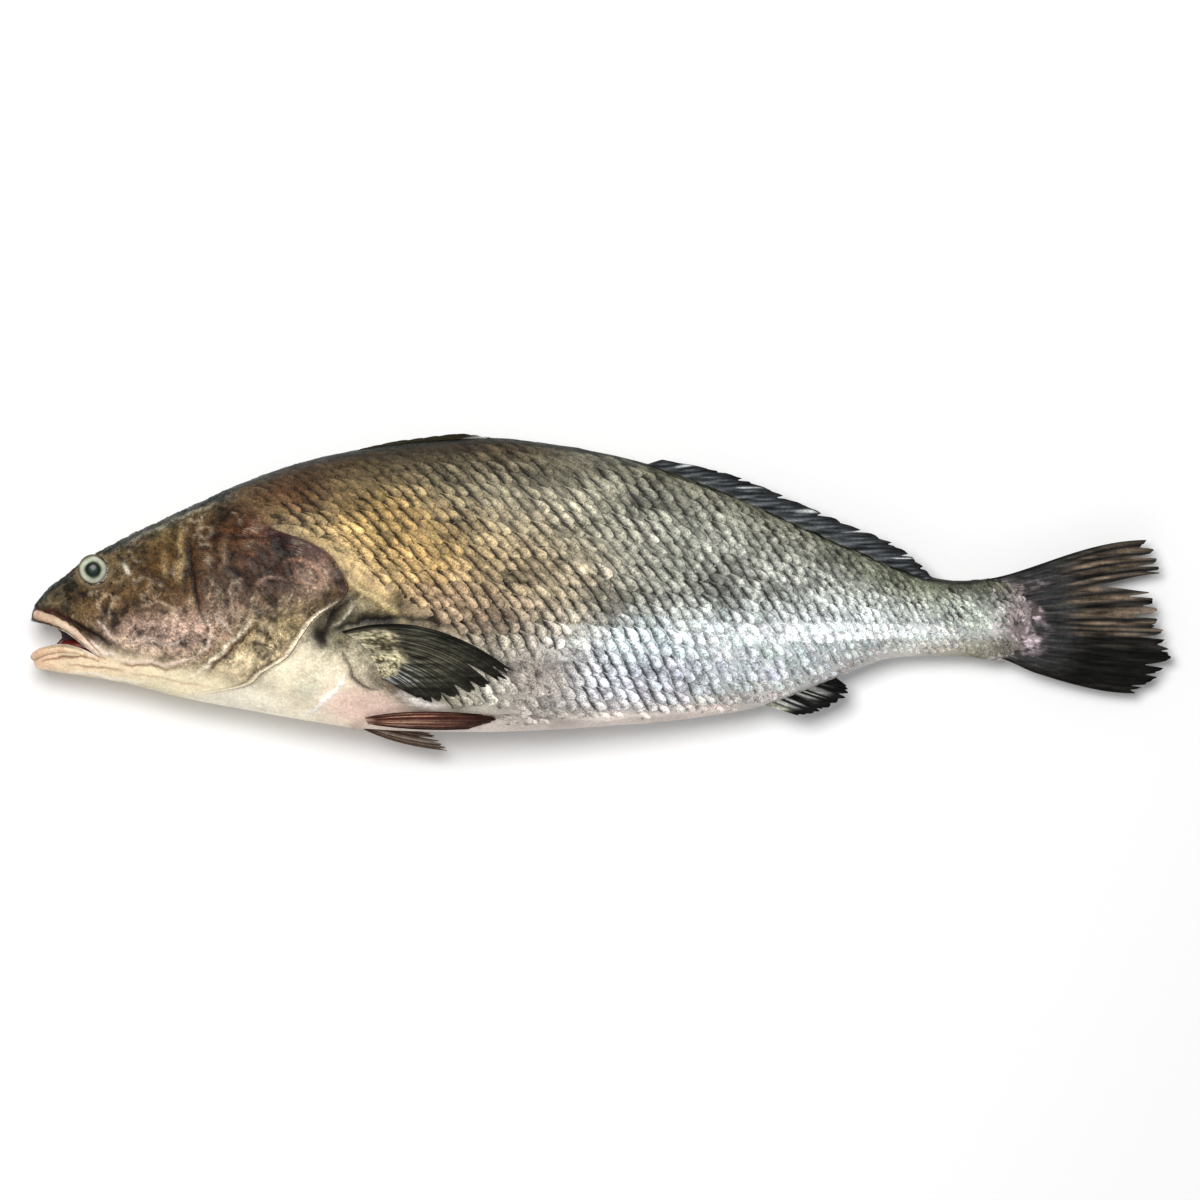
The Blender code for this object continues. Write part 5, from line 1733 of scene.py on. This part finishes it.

# %% [markdown]
# Behind the lips the mouth would be open right through the snout. In the photo it ends in a dark red
# hollow, so a thin lining closes it in the middle plane, darkened as painted shade of that hollow. Its
# front edge is curved, and it reaches a little into both jaws, so that no gap shows round it.

# %% The lining of the mouth
LINING_TOP = [(10, -2.4), (12.6, -3.4), (23.2, -8), (30.7, -13.6), (42, -22.4), (48, -24)]
LINING_LOW = [(10, -15.4), (15.7, -14.8), (23.2, -14.8), (31.2, -17), (42, -22.4), (48, -24)]
LINING_STEPS = (28, 12)
LINING_FRONT = [(0, 0.0150), (0.45, 0.0198), (0.75, 0.0190), (1, 0.0125)]
LINING_BACK = 0.042
LINING_HOLD = 0.0014
LINING_HALF = 0.0006


def build_lining():
    """A thin wall between the jaws, from its curved front edge to the corner of the mouth."""
    u, w = np.meshgrid(np.linspace(0, 1, LINING_STEPS[0]), np.linspace(0, 1, LINING_STEPS[1]), indexing="ij")
    front = np.interp(w, *zip(*LINING_FRONT))
    x = front + (LINING_BACK - front) * u
    low, top = curve(LINING_LOW)(x) - LINING_HOLD, curve(LINING_TOP)(x) + LINING_HOLD
    y = low + (top - low) * w
    z = 0.0012 * np.sin(np.pi * w) * u + 0.0005 * noise(x, y, 0 * x, 0.004, 2)
    left, right = place(x, y, z + LINING_HALF), place(x, y, z - LINING_HALF)
    points = np.concatenate([left.reshape(-1, 3), right.reshape(-1, 3)])
    piece = make_piece("mouth_lining", points, slab_faces(*LINING_STEPS), SHADED_MOUTH_SKIN)
    turn_outwards(piece)
    dress(piece)


build_lining()

# %% [markdown]
# The eye of a fish some hours out of the water: a dull greenish white ring round a dark pupil, under
# a clear wet front. The rings are drawn on the ball by the distance from its axis, and the pupil is a
# lens that bulges a little, so that light catches its edge.

# %% Eye material
def eye_material():
    made = bpy.data.materials.new("eye_ball")
    made.use_nodes = True
    tree = made.node_tree
    shader = tree.nodes["Principled BSDF"]
    speckled(tree, shader, 900.0, 0.12, 0.0, 0.00002)
    shader.inputs["Roughness"].default_value = 0.30
    shader.inputs["Coat Weight"].default_value = 0.10
    shader.inputs["Coat Roughness"].default_value = 0.08
    shader.inputs["Specular IOR Level"].default_value = 0.25
    made.diffuse_color = (*linear((190, 196, 176)), 1)
    return made


EYE = eye_material()
# Rings of the eye in mm from its axis, each with its colour.
EYE_RINGS = [
    (0.0, (34, 46, 40)), (2.4, (30, 42, 36)), (4.0, (12, 18, 14)), (4.7, (70, 80, 62)),
    (5.4, (158, 166, 142)), (6.8, (196, 200, 180)), (7.9, (168, 168, 144)), (8.6, (104, 94, 68)),
    (9.6, (50, 40, 26)),
]


def build_eye(name, side):
    """An eyeball with its lens and its rings of colour."""
    centre = np.array(eye_centre(side)) + (-TOTAL_LENGTH / 2, AXIS_Y, 0)
    piece = ball(name, eye_centre(side), EYE_HALF, EYE, 96)
    mesh = piece.data
    co = np.empty(len(mesh.vertices) * 3)
    mesh.vertices.foreach_get("co", co)
    co = co.reshape(-1, 3)
    off = co - centre
    radius = np.hypot(off[:, 0], off[:, 1]) / MM
    outer = off[:, 2] * side > 0
    lens = smooth_step((4.9 - radius) / 1.2) * 0.0003 - smooth_step((radius - 4.6) / 1.0) * 0.0004
    co[:, 2] += np.where(outer & (radius < 9.0), lens * side, 0)
    mesh.vertices.foreach_set("co", co.ravel())
    stops = [r for r, _ in EYE_RINGS]
    tones = np.array([linear(c) for _, c in EYE_RINGS])
    wobble = radius + 0.35 * noise(co[:, 0], co[:, 1], co[:, 2], 0.005, 2)
    colours = np.stack([np.interp(wobble, stops, tones[:, k]) for k in range(3)], -1)
    colours = colours * (1 + 0.20 * noise(co[:, 0], co[:, 1], co[:, 2], 0.002, 2))[:, None]
    colours = np.where(outer[:, None], colours, linear((70, 60, 44)))
    layer = mesh.color_attributes.new("tint", "FLOAT_COLOR", "POINT")
    layer.data.foreach_set("color", np.concatenate([colours, np.ones((len(colours), 1))], 1).ravel())
    dress(piece, name.replace("ball_", "eye_"))


for side_name, side in SIDES:
    build_eye(f"ball_{side_name}", side)

# %% [markdown]
# A ring of soft skin closes the gap between the eyeball and its socket. It follows the cheek's
# surface where there is one, and arches over the ball where the head's own edge falls away behind it.
# Its inner rings lie on the ball itself, so that no gap shows from the side.

# %% Eyelids
LID_RADII = np.array([8.3, 8.9, 9.5, 10.3, 11.3, 12.4, 13.4])
LID_ON_BALL = np.array([1.0, 0.65, 0.2, 0, 0, 0, 0])
LID_HEIGHTS = np.array([-1.8, -0.2, 0.55, 0.75, 0.55, 0.10, -0.6])
# The two inner tones, on the ball, are painted shade where the lid meets the ball.
LID_TONES = [
    (26, 22, 15), (60, 52, 36), (124, 110, 84), (112, 96, 70), (98, 80, 56), (92, 74, 52), (88, 70, 50),
]
LID_STEPS = 120


def build_lid(name, side):
    turn, radius = np.meshgrid(np.linspace(0, 2 * np.pi, LID_STEPS, endpoint=False), LID_RADII, indexing="ij")
    x = EYE_X + radius * MM * np.cos(turn)
    y = np.minimum(EYE_Y + radius * MM * np.sin(turn), back_y(x) + 0.0002)
    ball_side = abs(eye_centre(1)[2] - float(middle_z(EYE_X)))
    reach = np.maximum(flank_reach(x, y), ball_side - 0.0015)
    bumps = noise(x, y, 0 * x, 0.003, 2) * 0.00025
    out = reach + np.broadcast_to(LID_HEIGHTS * MM, x.shape) + bumps
    inside_ball = EYE_RADIUS**2 - np.minimum(radius * MM, EYE_RADIUS) ** 2
    on_ball = ball_side + EYE_FLATNESS * np.sqrt(inside_ball) - 0.0002
    out = out + (on_ball - out) * LID_ON_BALL
    tones = np.broadcast_to(np.array([linear(c) for c in LID_TONES]), x.shape + (3,))
    colours = tones * (1 + 0.4 * noise(x, y, 0 * x, 0.004, 3))[..., None]
    colours = blend(colours, RIDGE_TONE, np.exp(-(((back_y(x) - y) / 0.0020) ** 2)) * 0.8)
    faces = grid_faces(LID_STEPS + 1, len(LID_RADII)) % x.size
    piece = make_piece(name, place(x, y, out * side), faces, SKIN, colours)
    turn_outwards(piece)
    dress(piece)


for side_name, side in SIDES:
    build_lid(f"lid_{side_name}", side)

# %% [markdown]
# The floor is plain and nearly white. A large soft lamp stands to the upper left, as seen from above,
# so the shadow falls below and to the right, and a bright sky fills it in. A weak second lamp on the
# belly's side, which casts no shadow, lifts the throat. The camera looks straight down with a long
# lens, which keeps the side view free of perspective.

# %% Floor, light and camera
scene = bpy.context.scene
PHOTO_WIDTH = 0.7336
LOOK_AT = (-0.0015, -0.0046)
LENS = 600.0
SENSOR = 36.0
OUTLINE_HEIGHT = 0.030


def build_floor():
    half = 3.0
    points = np.array([(-half, -half, 0), (half, -half, 0), (half, half, 0), (-half, half, 0)], float)
    material = bpy.data.materials.new("pale_floor")
    material.use_nodes = True
    shader = material.node_tree.nodes["Principled BSDF"]
    shader.inputs["Base Color"].default_value = (0.93, 0.93, 0.93, 1)
    shader.inputs["Roughness"].default_value = 0.9
    shader.inputs["Specular IOR Level"].default_value = 0.1
    floor = make_piece("floor", points, np.array([[0, 1, 2, 3]]), material)


def add_light(name, location, size, power, shadow=True):
    light = bpy.data.lights.new(name, "AREA")
    light.size = size
    light.energy = power
    light.use_shadow = shadow
    light.specular_factor = 1.0 if shadow else 0.1
    lamp = bpy.data.objects.new(name, light)
    lamp.location = location
    target = bpy.data.objects.new(name + "_target", None)
    target.location = (0, 0, 0.03)
    for thing in (lamp, target):
        scene.collection.objects.link(thing)
    track = lamp.constraints.new("TRACK_TO")
    track.target = target
    track.track_axis = "TRACK_NEGATIVE_Z"
    track.up_axis = "UP_Y"


def set_world(strength):
    world = bpy.data.worlds.new("soft_sky")
    world.use_nodes = True
    world.node_tree.nodes["Background"].inputs["Color"].default_value = (1, 1, 1, 1)
    world.node_tree.nodes["Background"].inputs["Strength"].default_value = strength
    scene.world = world


def set_camera():
    camera = bpy.data.cameras.new("camera")
    camera.lens = LENS
    camera.sensor_width = SENSOR
    camera.clip_end = 20
    eye = bpy.data.objects.new("camera", camera)
    eye.location = (*LOOK_AT, PHOTO_WIDTH * LENS / SENSOR + OUTLINE_HEIGHT)
    scene.collection.objects.link(eye)
    scene.camera = eye


build_floor()
add_light("key", (-0.40, 0.60, 2.3), 1.1, 53)
add_light("fill", (0, -1.6, 0.7), 1.5, 7.5, shadow=False)
set_world(0.26)
set_camera()
scene.view_settings.view_transform = "Standard"
scene.view_settings.look = "None"
print("camera height", round(scene.camera.location.z, 3))
